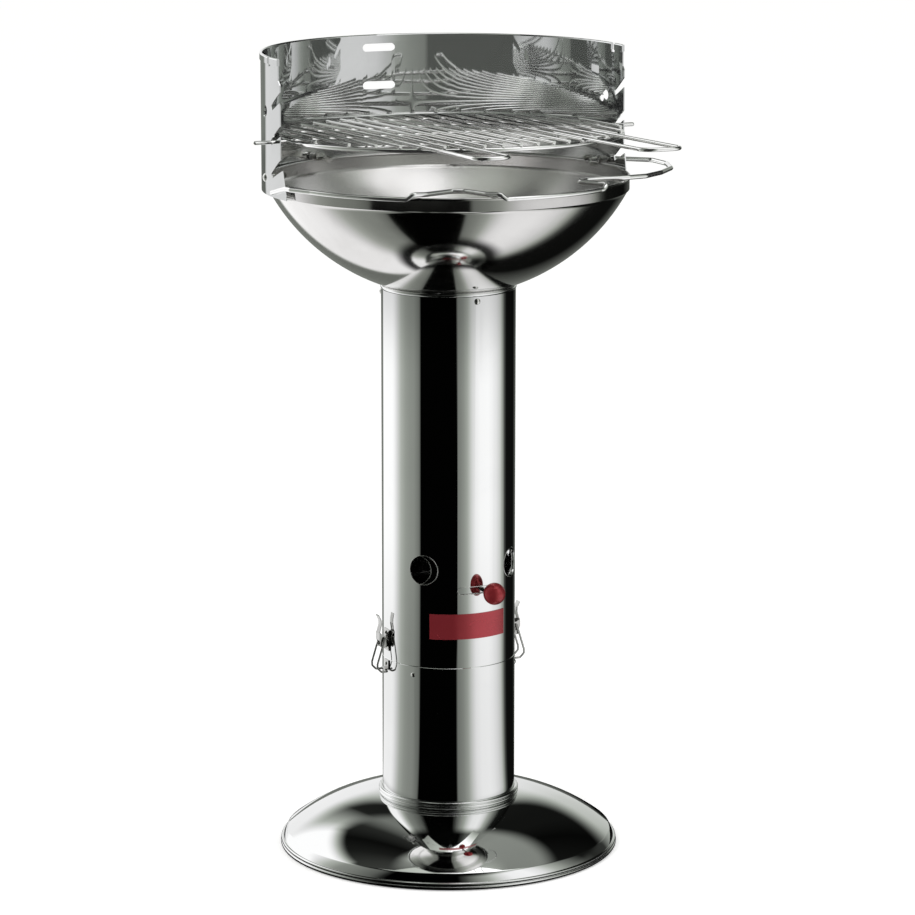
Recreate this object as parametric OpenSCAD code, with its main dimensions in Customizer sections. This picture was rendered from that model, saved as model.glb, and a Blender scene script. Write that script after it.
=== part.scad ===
// Pillar charcoal grill in polished stainless steel.
// Spun foot, ash tube, upper tube with an air regulator, dished fire bowl,
// arc windscreen with three heights for the cooking grid, and two toggle latches.
// The column's axis is Z, the grill's front faces -Y and the foot rests on z = 0.

/* [Column] */
// Outer radius of both column tubes
column_r = 85; // [80:1:90]
// Thickness of the tubes' sheet
tube_wall = 1.5; // [1.2:0.1:2]
// Height of the seam between the ash tube and the upper tube
seam_z = 250; // [240:1:256]
// Height of the upper tube's top edge
column_top = 724; // [690:1:760]
// Height of the guide sleeve below and above the seam
guide_down = 22; // [18:1:26]
// Height of the guide sleeve that stands above the seam
guide_up = 12; // [8:1:13]

/* [Foot] */
// Outer radius of the foot's rolled bead
foot_r = 217; // [205:1:230]
// Radius of the arc that the dish is spun to
dish_arc_r = 230; // [220:1:245]
// Distance of that arc's centre from the column's axis
dish_centre_r = 70; // [60:1:78]
// Height of the crease above the foot's lip
lip_z = 18.5; // [15:0.5:24]
// Thickness of the dish's sheet
dish_wall = 2; // [1.5:0.1:2.5]
// Height of the double beaded neck
neck_h = 11; // [9:0.5:14]
// Radius of a rolled bead
bead_r = 2.5; // [2:0.1:3]

/* [Fire bowl] */
// Depth of the bowl's pressed dish, from the band to its lowest point
bowl_depth = 133.2; // [126:0.2:140]
// Outer radius of the bowl's upright band
band_r = 226.8; // [222:0.2:229]
// Height of that band
band_h = 15.5; // [12:0.5:18]
// Thickness of the bowl's sheet
bowl_wall = 1.5; // [1.2:0.1:2]
// Radius of the air opening in the bowl's bottom
bowl_hole_r = 72; // [64:1:76]
// Height of the collar bead between the tube and the bowl
collar_h = 5; // [4:0.5:7]
// Depth of the collar's spigot in the upper tube
spigot_h = 24; // [18:1:30]

/* [Windscreen] */
// Distance from the bowl's band to the screen's outer face
screen_gap = 7.2; // [6:0.2:9]
// Thickness of the screen's sheet
screen_wall = 1.5; // [1.2:0.1:2]
// Height of the screen from its lower edge to its top
screen_h = 172; // [165:1:180]
// Height of the hem along the screen's top
hem_h = 9; // [7:0.5:11]
// Angle from the front to each upright edge of the screen
screen_edge_angle = 84.6; // [83:0.2:86]
// Spacing of the three grid heights
slot_pitch = 41.5; // [38:0.5:42]
// Slope of the grid slots
slot_slope = 26; // [22:1:30]
// Height of a slot at its blind end
slot_end_h = 6; // [5.5:0.1:7]
// Height of a slot at its mouth
slot_mouth_h = 12.5; // [11:0.5:14]
// Depth of a grid slot behind the screen's edge
slot_depth = 29; // [26:1:32]

/* [Cooking grid] */
// Free gap between the grid's rim ring and the screen
grid_gap = 16.5; // [15:0.5:24]
// Radius of the rim ring's wire
grid_ring_wire_r = 3; // [2.5:0.1:3.5]
// Radius of the bars that the food lies on
grid_bar_r = 2; // [1.5:0.1:2.2]
// Spacing of those bars
grid_pitch = 22.7; // [20:0.1:23.2]
// Radius of the cross bars, the pegs and the handles
peg_r = 2.5; // [2:0.1:2.7]
// Length of a peg outside the screen
peg_out = 22; // [14:1:26]
// How far the ring's centre lies in front of the column's axis
grid_forward = 10; // [8:1:14]
// Reach of the handles in front of the column's axis
handle_reach = 365; // [330:1:380]
// Slope of the grid, whose back hangs a little lower than its front
grid_tilt = 1.6; // [0:0.2:2.2]

/* [Charcoal grate] */
// Radius of the grate's ring, on its centre line
grate_r = 125; // [115:1:135]
// Radius of the grate's ring wire
grate_ring_wire_r = 3; // [2.5:0.1:3.5]
// Radius of the grate's bars
grate_bar_r = 2.5; // [2:0.1:3]
// Spacing of the grate's bars
grate_pitch = 16; // [14:0.5:18]

/* [Air regulator] */
// Radius of the four air holes
air_hole_r = 19; // [17:0.5:20]
// Height of the air holes' centres
air_hole_z = 376; // [372:1:384]
// Height of the lever slot and its rod
lever_z = 350; // [346:1:351]
// Angle from the front at which the holes are open
lever_open_angle = 14.5; // [12:0.5:16]
// Angle from the front at which the holes are closed
lever_shut_angle = -12; // [-14:0.5:-10]
// Angle of the rod as it stands now
lever_angle = 8; // [6:0.5:10]
// Height of the lever slot
lever_slot_h = 9.4; // [9:0.2:11]
// Radius of the rod
rod_r = 3; // [2.5:0.1:3.5]
// Radius of the ball knob
knob_r = 14; // [12:0.5:16]
// Distance of the knob's centre from the tube's surface
knob_out = 27; // [24:1:30]
// Thickness of the regulator sleeve
sleeve_wall = 1.2; // [1:0.1:1.5]

/* [Latches] */
// Width of a latch's lever
latch_w = 12.8; // [12:0.2:14]
// Radius of the bail's wire
bail_r = 1.3; // [1.1:0.1:1.4]
// Radius of the pivot pin
pin_r = 1.5; // [1.3:0.1:1.7]
// Height of the pivot pin above the seam
pin_up = 20; // [19:0.5:22]
// Distance of the pivot pin from the tube's surface
pin_out = 7.5; // [7.2:0.1:8]

/* [Rim rail] */
// Radius of the rail's wire
rail_r = 3; // [2.5:0.1:3.2]
// How far the hand loop stands out from the bowl's band
loop_out = 65; // [55:1:70]
// How far the front recess reaches into the bowl
recess_in = 42; // [30:1:50]

/* [Fits] */
// Gap between round faces that are pushed or welded together
fit = 0.3; // [0.25:0.05:0.35]
// Gap of a rivet, bolt or pin in its hole
hole_fit = 0.1; // [0.05:0.05:0.15]
// Gap between wires that are welded where they cross
weld_gap = 0.1; // [0.05:0.05:0.15]

/* [Hidden] */
$fn = 96;
// Overrun of a cutter beyond what it cuts
over = 1;
// Sides of a bent wire
wire_sides = 12;

// Foot: the dish's arc, its lip and the neck that holds the ash tube
lip_r = foot_r - 8;
dish_centre_z = lip_z - sqrt(pow(dish_arc_r, 2) - pow(lip_r - dish_centre_r, 2));
function dish_z(r) = dish_centre_z + sqrt(pow(dish_arc_r, 2) - pow(r - dish_centre_r, 2));
neck_in = column_r + fit;
neck_wall = 1.7;
neck_out = neck_in + neck_wall;
neck_bead_r = 2.3;
neck_bead_gap = 4.3;
neck_top = dish_z(neck_out) + neck_h - 1;
ledge_in = column_r - 13;
ledge_z = dish_z(neck_out) - 4;
ledge_wall = 2;

// Column
tube_in = column_r - tube_wall;
seam_chamfer = 0.5;
floor_wall = 1.5;
floor_up = 6;
guide_out = tube_in - fit;
guide_wall = 1.4;
guide_rivet_z = seam_z - 11.6;
guide_rivet_angles = [-55, 65, 185];
rivet_r = 1.9;

// Bowl: a spherical dish whose centre is above the column, then an upright band
band_step = 2.2;
dish_lip_r = band_r - band_step;
bowl_rho = (pow(dish_lip_r, 2) + pow(bowl_depth, 2)) / (2 * bowl_depth);
collar_bead_r = collar_h / 2;
collar_bead_x = column_r + 0.9 - collar_bead_r;
bowl_centre_z = column_top + collar_bead_r
    + sqrt(pow(bowl_rho + collar_bead_r + fit, 2) - pow(collar_bead_x, 2));
function bowl_z(r) = bowl_centre_z - sqrt(pow(bowl_rho, 2) - pow(r, 2));
band_low = bowl_z(dish_lip_r) + 2;
rim_z = band_low + band_h;
rim_bead_r = 1.8;
rim_top = rim_z + rim_bead_r - 0.4;
screw_angles = [2, 122, 242];
screw_z = column_top - 6;
screw_r = 2;

// Windscreen
screen_r = band_r + screen_gap;
screen_in = screen_r - screen_wall;
screen_low = band_low - 0.5;
screen_top = screen_low + screen_h;
edge_y = -screen_r * cos(screen_edge_angle);
neck_y = edge_y + 5;
toe_high = 5;
toe_low = 15;
toe_angle = acos((toe_low - edge_y) / screen_r) - 1;
// Heights of the tooth tips under the three slots, lowest first
first_tip = 35.5;
slot_tip_z = [for (i = [0:2]) screen_low + first_tip + i * slot_pitch];
slot_end_y = edge_y + slot_depth;
slot_low_y = slot_end_y - 2;
slot_drop = (slot_low_y - edge_y) * tan(slot_slope);
// The screen's bolts lie on the rim, and their wing nuts clamp it from inside
bolt_angles = [99, 155, -155, -99];
bolt_r = 2.5;
bolt_z = rim_top + bolt_r + fit;
nut_seat = band_r - 0.6 - rim_bead_r - 0.15;
bolt_head_r = 5.5;
bolt_head_h = 3;
spacer_r = 5;
band_in = band_r - bowl_wall;
vent_len = 45;
vent_h = 10;
vent_z = [screen_top - 66, screen_top - 17];
spit_angle = 97.3;
spit_r = 6.5;
spit_seat_angle = 99.5;
spit_seat_r = 4.5;
spit_z = screen_top - 68;
notch_w = 8;
notch_depth = 12;
notch_y = 12;

// Cooking grid: the pegs lie at the bottom of the middle slots
grid_r = screen_in - grid_gap - grid_ring_wire_r;
peg_lift = peg_r + fit;
peg_back = peg_lift + 0.5;
peg_y = slot_low_y - peg_back * cos(slot_slope) + peg_lift * sin(slot_slope);
peg_z = slot_tip_z[1] - slot_drop + peg_back * sin(slot_slope) + peg_lift * cos(slot_slope);
grid_bar_z = peg_z + grid_ring_wire_r + grid_bar_r + weld_gap;
grid_bar_last = floor((grid_r - 4) / grid_pitch);
cross_z = grid_bar_z - grid_bar_r - peg_r - weld_gap;
cross_out = 0.53 * grid_r;
cross_y = [-grid_forward - cross_out, peg_y, -grid_forward + cross_out];
// The handles' legs lie on the ring, beside the bars or midway between two of them
beside = grid_bar_r + peg_r + 0.3;
handle_legs = [[-5 * grid_pitch - beside, -3 * grid_pitch - beside],
    [4 * grid_pitch + beside, 6.5 * grid_pitch]];
handle_inner_y = cross_y[0] + 12;
handle_z = grid_bar_z - grid_bar_r + peg_r;

// Charcoal grate: its ring lies on the inside of the bowl
grate_seat_rho = bowl_rho - bowl_wall - grate_ring_wire_r - fit;
grate_z = bowl_centre_z - sqrt(pow(grate_seat_rho, 2) - pow(grate_r, 2));
grate_bar_z = grate_z + grate_ring_wire_r + grate_bar_r + weld_gap;
grate_bar_count = 2 * floor((grate_r - 4) / grate_pitch + 0.5);

// Air regulator
air_hole_angles = [45, 135, 225, 315];
regulator_shift = lever_angle - lever_open_angle;
sleeve_out = tube_in - fit - 0.1;
sleeve_in = sleeve_out - sleeve_wall;
sleeve_low = lever_z - 12;
sleeve_high = air_hole_z + air_hole_r + 8;
ring_h = 4;
ring_in = tube_in - 3.3;
rod_head_h = 2.8;
rod_end = column_r + knob_out - 0.5;
lever_slot_len = 2 * column_r * sin((lever_open_angle - lever_shut_angle) / 2) + lever_slot_h;

// Label plate
label_mid_angle = -3.85;
label_span = 70.7;
label_z = 304;
label_h = 32.5;
label_wall = 0.6;

// Latches: distances run outwards from the tube, sideways and up from the seam
plate_wall = 1.5;
plate_x = column_r + 0.1;
pin_x = column_r + pin_out;
pin_z = seam_z + pin_up;
ear_wall = 1.2;
cheek_wall = 1.2;
cheek_in = latch_w / 2 - cheek_wall;
ear_in = cheek_in - 0.4 - ear_wall;
ear_h = 6.4;
bail_pivot = [pin_x - 0.7, pin_z + 9];
bail_half = latch_w / 2 + 2.9;
catch_lip_low = seam_z - 13;
bail_bar = [column_r + 3.2, catch_lip_low - fit - bail_r];
bail_knee = [column_r + 17, seam_z - 4];
latch_sides = [-90, 90];
bracket_rivet_z = [pin_z - 3, pin_z + 15];
catch_rivet_z = seam_z - 6;

// Rim rail: it runs round the bowl's rolled rim and crosses over it
rail_z = rim_z - 0.4;
rail_over_z = rim_top + rail_r + fit;
rail_arc_r = band_r - 0.5 + rim_bead_r + rail_r + fit;
rail_joint_angle = 30;
rail_turn_r = 6;
screen_side_r = screen_r + rail_r + fit + 0.1;
hook_drop = 9;

// Points on an arc of radius r round c, from angle a to angle b
function arc(c, r, a, b, n = 12) =
    [for (i = [0:n]) c + r * [cos(a + (b - a) * i / n), sin(a + (b - a) * i / n)]];
// A point at radius r and height z, at an angle from the grill's front
function around(r, angle, z) = [r * sin(angle), -r * cos(angle), z];
function unit(v) = v / norm(v);
function flipped(list) = [for (i = [len(list) - 1:-1:0]) list[i]];

// A corner of a bent wire, rounded to radius r where its legs are long enough
function bend(a, b, c, r, n) =
    let (u = unit(a - b), w = unit(c - b), half = acos(max(-1, min(1, u * w))) / 2)
    half > 88 ? [b] :
    let (t = min(r / tan(half), norm(a - b) * 0.45, norm(c - b) * 0.45),
        centre = b + unit(u + w) * t / cos(half),
        from = b + u * t - centre, to = b + w * t - centre, sweep = 180 - 2 * half)
    [for (i = [0:n]) centre + (from * sin(sweep * (1 - i / n)) + to * sin(sweep * i / n)) / sin(sweep)];
function bent(path, r, n = 5) =
    [path[0], for (i = [1:len(path) - 2]) each bend(path[i - 1], path[i], path[i + 1], r, n),
        path[len(path) - 1]];

// A round wire of radius r along a path
module wire(path, r) {
    last = len(path) - 1;
    dirs = [for (i = [0:last]) unit(path[min(i + 1, last)] - path[max(i - 1, 0)])];
    start = unit(cross(dirs[0], abs(dirs[0][2]) > 0.7 ? [1, 0, 0] : [0, 0, 1]));
    sides = [for (i = 0, v = start; i <= last;
        v = unit(v - (v * dirs[min(i + 1, last)]) * dirs[min(i + 1, last)]), i = i + 1) v];
    points = [for (i = [0:last], k = [0:wire_sides - 1])
        path[i] + r * (cos(k * 360 / wire_sides) * sides[i]
            + sin(k * 360 / wire_sides) * cross(dirs[i], sides[i]))];
    walls = [for (i = [0:last - 1], k = [0:wire_sides - 1])
        let (a = i * wire_sides + k, b = i * wire_sides + (k + 1) % wire_sides)
        each [[a, a + wire_sides, b], [b, a + wire_sides, b + wire_sides]]];
    caps = [[for (k = [0:wire_sides - 1]) k],
        [for (k = [wire_sides - 1:-1:0]) last * wire_sides + k]];
    polyhedron(points, concat(walls, caps), convexity = 6);
}

// A straight round bar between two points
module bar(from, to, r) {
    v = to - from;
    translate(from)
        rotate([0, acos(v[2] / norm(v)), atan2(v[1], v[0])])
            cylinder(h = norm(v), r = r, $fn = 24);
}

// Turns a part made along +X, outwards, to an angle from the grill's front
module facing(angle) {
    rotate([0, 0, angle - 90]) children();
}

// A round cutter or pin that runs outwards from radius a to radius b
module outward(a, b, r, z, sides = 32) {
    translate([a, 0, z]) rotate([0, 90, 0]) cylinder(h = b - a, r = r, $fn = sides);
}

// A slot shape with round ends
module obround(length, height) {
    square([length - height, height], center = true);
    for (s = [-1, 1])
        translate([s * (length - height) / 2, 0]) circle(r = height / 2, $fn = 32);
}

// A dome head that stands outwards at radius a
module dome_head(a, r, h, z) {
    rho = (r * r + h * h) / (2 * h);
    translate([a, 0, z]) rotate([0, 90, 0])
        rotate_extrude($fn = 32)
            polygon(concat([[0, 0]], arc([0, h - rho], rho, asin((rho - h) / rho), 90, 5)));
}

// A curved strip between two radii, heights and angles from the front
module strip(r_in, r_out, z_low, z_high, from, to) {
    rotate([0, 0, from - 90])
        rotate_extrude(angle = to - from, $fn = 180)
            translate([r_in, z_low]) square([r_out - r_in, z_high - z_low]);
}

// A curved pad on the tube, centred on +X
module pad(r_in, r_out, width, z_low, z_high) {
    half = width / 2 / r_in * 180 / PI;
    strip(r_in, r_out, z_low, z_high, 90 - half, 90 + half);
}

// A tube whose outer edges are chamfered where asked
module tube(r_out, r_in, z_low, z_high, cut_low, cut_high) {
    rotate_extrude($fn = 180)
        polygon([[r_in, z_low], [r_out - cut_low, z_low], [r_out, z_low + cut_low],
            [r_out, z_high - cut_high], [r_out - cut_high, z_high], [r_in, z_high]]);
}

module base_dish() {
    skin_r = neck_in + 0.8;
    lip_angle = acos((lip_r - dish_centre_r) / dish_arc_r);
    centre = [dish_centre_r, dish_centre_z];
    skin = arc(centre, dish_arc_r, acos((skin_r - dish_centre_r) / dish_arc_r), lip_angle, 20);
    back = arc(centre, dish_arc_r - dish_wall, lip_angle, acos((skin_r - dish_centre_r) / dish_arc_r), 20);
    bead_z = bead_r - 0.4;
    color("silver")
        difference() {
            union() {
                rotate_extrude($fn = 180)
                    polygon(concat(skin, [[foot_r - bead_r, bead_z + 1.7 * bead_r],
                        [foot_r - bead_r - dish_wall, bead_z + bead_r]], back));
                rotate_extrude($fn = 180)
                    translate([foot_r - bead_r, bead_z]) circle(r = bead_r, $fn = 24);
                rotate_extrude($fn = 180)
                    translate([foot_r - bead_r - 0.6, bead_z + 1.7 * bead_r]) circle(r = bead_r, $fn = 24);
                rotate_extrude($fn = 180)
                    polygon([[ledge_in, ledge_z - ledge_wall], [neck_out, ledge_z - ledge_wall],
                        [neck_out, neck_top], [neck_in, neck_top], [neck_in, ledge_z], [ledge_in, ledge_z]]);
                for (i = [0, 1])
                    rotate_extrude($fn = 180)
                        translate([neck_in + neck_bead_r, neck_top - neck_bead_r - i * neck_bead_gap])
                            circle(r = neck_bead_r, $fn = 24);
            }
            // Flat underside of the rolled bead
            translate([0, 0, -5]) cylinder(h = 5, r = foot_r + over, $fn = 180);
        }
}

module ash_tube() {
    color("silver")
        difference() {
            tube(column_r, tube_in, ledge_z, seam_z, 0, seam_chamfer);
            for (a = guide_rivet_angles)
                facing(a) outward(tube_in - over, column_r + over, rivet_r + hole_fit, guide_rivet_z);
            for (a = latch_sides)
                facing(a) outward(tube_in - over, column_r + over, pin_r + hole_fit, catch_rivet_z);
        }
}

module ash_floor() {
    color("gray")
        rotate_extrude($fn = 180)
            polygon([[0, ledge_z + floor_up - floor_wall], [0, ledge_z + floor_up],
                [guide_out, ledge_z + floor_up], [guide_out, ledge_z],
                [guide_out - floor_wall, ledge_z], [guide_out - floor_wall, ledge_z + floor_up - floor_wall]]);
}

module guide_sleeve() {
    color("gray")
        difference() {
            tube(guide_out, guide_out - guide_wall, seam_z - guide_down, seam_z + guide_up, 0, seam_chamfer);
            for (a = guide_rivet_angles)
                facing(a) outward(tube_in - 5, column_r, rivet_r + hole_fit, guide_rivet_z);
            for (a = latch_sides)
                facing(a) outward(tube_in - 5, column_r, pin_r + hole_fit, catch_rivet_z);
        }
}

// A rivet with a dome outside and a flat head inside
module rivet(shank_r, z, inside, outside, head_r) {
    outward(inside, outside, shank_r, z);
    dome_head(outside, head_r, 1.6, z);
    outward(inside - 1, inside, head_r, z);
}

module guide_rivets() {
    color("silver")
        for (a = guide_rivet_angles)
            facing(a) rivet(rivet_r, guide_rivet_z, guide_out - guide_wall - 0.15, column_r + 0.05, 3.2);
}

module upper_tube() {
    color("silver")
        difference() {
            tube(column_r, tube_in, seam_z, column_top, seam_chamfer, 0);
            for (a = air_hole_angles)
                facing(a) outward(tube_in - 5, column_r + over, air_hole_r, air_hole_z, 64);
            facing((lever_shut_angle + lever_open_angle) / 2)
                translate([tube_in - 8, 0, lever_z]) rotate([90, 0, 90])
                    linear_extrude(height = 12)
                        obround(lever_slot_len, lever_slot_h);
            for (a = screw_angles)
                facing(a) outward(tube_in - over, column_r + over, screw_r + hole_fit, screw_z);
            for (a = latch_sides, z = bracket_rivet_z)
                facing(a) outward(tube_in - over, column_r + over, pin_r + hole_fit, z);
        }
}

module label_plate() {
    color("firebrick")
        strip(column_r + 0.15, column_r + 0.15 + label_wall, label_z - label_h / 2, label_z + label_h / 2,
            label_mid_angle - label_span / 2, label_mid_angle + label_span / 2);
}

module regulator_rings() {
    color("gray") {
        tube(guide_out, ring_in, sleeve_low - fit - ring_h, sleeve_low - fit, 0, 0);
        tube(guide_out, ring_in, sleeve_high + fit, sleeve_high + fit + ring_h, 0, 0);
    }
}

module regulator_sleeve() {
    color("darkgray")
        difference() {
            tube(sleeve_out, sleeve_in, sleeve_low, sleeve_high, 0, 0);
            for (a = air_hole_angles)
                facing(a + regulator_shift) outward(sleeve_in - 5, column_r, air_hole_r, air_hole_z, 64);
            facing(lever_angle) outward(sleeve_in - 5, column_r, rod_r + hole_fit, lever_z);
        }
}

module regulator_rod() {
    seat = sleeve_in - 0.25;
    color("silver")
        facing(lever_angle) {
            outward(seat, rod_end, rod_r, lever_z);
            outward(seat - rod_head_h, seat, 5.4, lever_z, 6);
        }
}

module regulator_knob() {
    color("firebrick")
        facing(lever_angle)
            difference() {
                translate([column_r + knob_out, 0, lever_z]) sphere(r = knob_r, $fn = 64);
                outward(column_r, rod_end + 0.5, rod_r + hole_fit, lever_z);
            }
}

// Latch parts, made along +X and turned to their side by facing
module latch_bracket() {
    difference() {
        union() {
            pad(plate_x, plate_x + plate_wall, 18, pin_z - 8, pin_z + 19);
            for (s = [-1, 1])
                translate([0, s * (ear_in + ear_wall / 2), 0]) rotate([90, 0, 0])
                    linear_extrude(height = ear_wall, center = true) {
                        translate([plate_x + 0.8, pin_z - ear_h / 2]) square([pin_out - 0.9, ear_h]);
                        translate([pin_x, pin_z]) circle(r = ear_h / 2, $fn = 32);
                    }
        }
        for (z = bracket_rivet_z)
            outward(plate_x - over, plate_x + plate_wall + over, pin_r + hole_fit, z);
        translate([pin_x, 0, pin_z]) rotate([90, 0, 0])
            cylinder(h = latch_w + 4, r = pin_r + hole_fit, center = true, $fn = 32);
    }
}

module latch_pin() {
    translate([pin_x, 0, pin_z]) rotate([90, 0, 0]) {
        cylinder(h = latch_w + 0.4, r = pin_r, center = true, $fn = 32);
        for (s = [0, 180]) rotate([s, 0, 0]) translate([0, 0, latch_w / 2 + 0.15])
            cylinder(h = 0.8, r = pin_r + 0.8, $fn = 32);
    }
}

module latch_lever() {
    web_x = pin_x + 4.3;
    tip_z = pin_z + 38;
    // Side view of the web, from its foot to the flared finger tip
    web = [[web_x, pin_z + 5.8], [web_x + 1.2, pin_z + 5.8], [web_x + 1.2, pin_z + 15],
        [web_x - 1.8, pin_z + 26], [web_x - 1.4, pin_z + 31], [web_x + 1.8, tip_z],
        [web_x + 0.6, tip_z + 0.6], [web_x - 2.6, pin_z + 31.4], [web_x - 3, pin_z + 26],
        [web_x, pin_z + 14.6]];
    difference() {
        union() {
            rotate([90, 0, 0]) linear_extrude(height = latch_w, center = true) polygon(web);
            for (s = [-1, 1])
                translate([0, s * (latch_w - cheek_wall) / 2, 0])
                    rotate([90, 0, 0]) linear_extrude(height = cheek_wall, center = true)
                        union() {
                            translate([pin_x, pin_z]) circle(r = 4.4, $fn = 32);
                            polygon([[pin_x - 3.4, pin_z + 2], [pin_x, pin_z - 2], [pin_x + 3, pin_z],
                                [web_x + 0.6, pin_z + 6], [web_x + 0.6, pin_z + 14.6],
                                [bail_pivot[0], bail_pivot[1] + 3.4], [bail_pivot[0] - 3.4, bail_pivot[1]]]);
                        }
        }
        translate([pin_x, 0, pin_z]) rotate([90, 0, 0])
            cylinder(h = latch_w + 4, r = pin_r + hole_fit, center = true, $fn = 32);
        translate([bail_pivot[0], 0, bail_pivot[1]]) rotate([90, 0, 0])
            cylinder(h = latch_w + 4, r = bail_r + hole_fit, center = true, $fn = 32);
        // The finger tip is narrower than the body
        for (s = [-1, 1])
            translate([pin_x - 2, s > 0 ? latch_w / 2 - 1.6 : -latch_w / 2 - 1, pin_z + 16])
                cube([12, 2.6, 26]);
    }
}

module latch_bail() {
    knee_low = [bail_knee[0], bail_bar[1] + 5.5];
    foot = [bail_knee[0] - 5.5, bail_bar[1]];
    half = [[bail_pivot[0], bail_half, bail_pivot[1]], [bail_knee[0], bail_half, bail_knee[1]],
        [knee_low[0], bail_half, knee_low[1]], [foot[0], bail_half, foot[1]],
        [bail_bar[0], bail_half, bail_bar[1]]];
    mirrored = [for (p = flipped(half)) [p[0], -p[1], p[2]]];
    ends = [[bail_pivot[0], latch_w / 2 - cheek_wall, bail_pivot[1]]];
    path = concat(ends, half, mirrored, [for (p = ends) [p[0], -p[1], p[2]]]);
    wire(bent(path, 2.2, 4), bail_r);
}

module latch_catch() {
    width = 13;
    difference() {
        union() {
            pad(plate_x, plate_x + plate_wall, width, catch_lip_low, catch_lip_low + 12);
            pad(plate_x, plate_x + plate_wall + 4.6, width, catch_lip_low, catch_lip_low + 1.5);
        }
        outward(plate_x - over, plate_x + plate_wall + over, pin_r + hole_fit, catch_rivet_z);
    }
}

module left_latch_bracket() {
    color("silver") facing(latch_sides[0]) latch_bracket();
}

module left_latch_pin() {
    color("gray") facing(latch_sides[0]) latch_pin();
}

module left_latch_lever() {
    color("silver") facing(latch_sides[0]) latch_lever();
}

module left_latch_bail() {
    color("silver") facing(latch_sides[0]) latch_bail();
}

module left_latch_catch() {
    color("silver") facing(latch_sides[0]) latch_catch();
}

module right_latch_bracket() {
    color("silver") facing(latch_sides[1]) latch_bracket();
}

module right_latch_pin() {
    color("gray") facing(latch_sides[1]) latch_pin();
}

module right_latch_lever() {
    color("silver") facing(latch_sides[1]) latch_lever();
}

module right_latch_bail() {
    color("silver") facing(latch_sides[1]) latch_bail();
}

module right_latch_catch() {
    color("silver") facing(latch_sides[1]) latch_catch();
}

module latch_rivets() {
    plate_face = plate_x + plate_wall + 0.05;
    color("silver")
        for (a = latch_sides)
            facing(a) {
                for (z = bracket_rivet_z) rivet(pin_r, z, tube_in - 0.2, plate_face, 2.6);
                rivet(pin_r, catch_rivet_z, guide_out - guide_wall - 0.15, plate_face, 2.6);
            }
}

module bowl() {
    low_angle = acos(bowl_hole_r / bowl_rho);
    top_angle = acos(dish_lip_r / bowl_rho);
    inner_rho = bowl_rho - bowl_wall;
    centre = [0, bowl_centre_z];
    skin = arc(centre, bowl_rho, -low_angle, -top_angle, 24);
    inside = arc(centre, inner_rho, -acos((band_in - band_step) / inner_rho),
        -acos(bowl_hole_r / inner_rho), 24);
    color("silver")
        rotate_extrude($fn = 180)
            union() {
                polygon(concat(skin, [[band_r, band_low], [band_r, rim_z], [band_in, rim_z],
                    [band_in, band_low + 0.3]], inside));
                translate([band_r - 0.6, rim_z - 0.4]) circle(r = rim_bead_r, $fn = 24);
            }
}

module bowl_collar() {
    spigot_in = guide_out - tube_wall;
    color("silver")
        difference() {
            rotate_extrude($fn = 180)
                union() {
                    polygon([[spigot_in, column_top - spigot_h], [guide_out, column_top - spigot_h],
                        [guide_out, column_top], [collar_bead_x, column_top],
                        [collar_bead_x, bowl_z(collar_bead_x) - fit],
                        [spigot_in, bowl_z(spigot_in) - fit]]);
                    translate([collar_bead_x, column_top + collar_bead_r])
                        circle(r = collar_bead_r, $fn = 24);
                }
            for (a = screw_angles)
                facing(a) outward(spigot_in - over, column_r + over, screw_r + hole_fit, screw_z);
        }
}

module collar_screws() {
    color("silver")
        for (a = screw_angles)
            facing(a) {
                outward(tube_in - 9, column_r + 0.05, screw_r, screw_z);
                dome_head(column_r + 0.05, 4.2, 2.6, screw_z);
            }
}

module collar_nuts() {
    seat = guide_out - tube_wall - 0.25;
    color("gray")
        for (a = screw_angles)
            facing(a)
                difference() {
                    outward(seat - 3.2, seat, 4.2, screw_z, 6);
                    outward(seat - 5, seat + 1, screw_r + hole_fit, screw_z);
                }
}

module charcoal_ring() {
    color("dimgray")
        rotate_extrude($fn = 120)
            translate([grate_r, grate_z]) circle(r = grate_ring_wire_r, $fn = 16);
}

module charcoal_bars() {
    color("dimgray")
        for (i = [0:grate_bar_count - 1]) {
            x = (i - (grate_bar_count - 1) / 2) * grate_pitch;
            reach = sqrt(pow(grate_r, 2) - x * x);
            bar([x, -reach, grate_bar_z], [x, reach, grate_bar_z], grate_bar_r);
        }
}

// The rail hugs the rim, dips into the bowl at the front and hooks round the screen's edge
module rim_rail() {
    hook = [for (a = [-89:3:-80]) around(screen_side_r, a, rail_z - hook_drop * (-80 - a) / 9)];
    left = [around(screen_side_r, -77, rail_z), for (a = [-69:3:-39]) around(rail_arc_r, a, rail_z)];
    recess = [around(rail_arc_r + 1, -35.5, rail_z), around(rail_arc_r + 1.5, -33.5, rail_over_z + 1),
        around(rail_arc_r - 12, -30, rail_over_z), around(rail_arc_r - recess_in, -22, rail_over_z),
        around(rail_arc_r - recess_in, -17, rail_over_z), around(rail_arc_r - 12, -11, rail_over_z),
        around(rail_arc_r + 1.5, -7.5, rail_over_z + 1), around(rail_arc_r + 1, -5.5, rail_z)];
    right = [for (a = [-2.9:3:27.1]) around(rail_arc_r, a, rail_z)];
    color("silver")
        wire(bent(concat(hook, left, recess, right,
            [around(rail_arc_r, rail_joint_angle - 0.1, rail_z)]), rail_turn_r, 4), rail_r);
}

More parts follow.
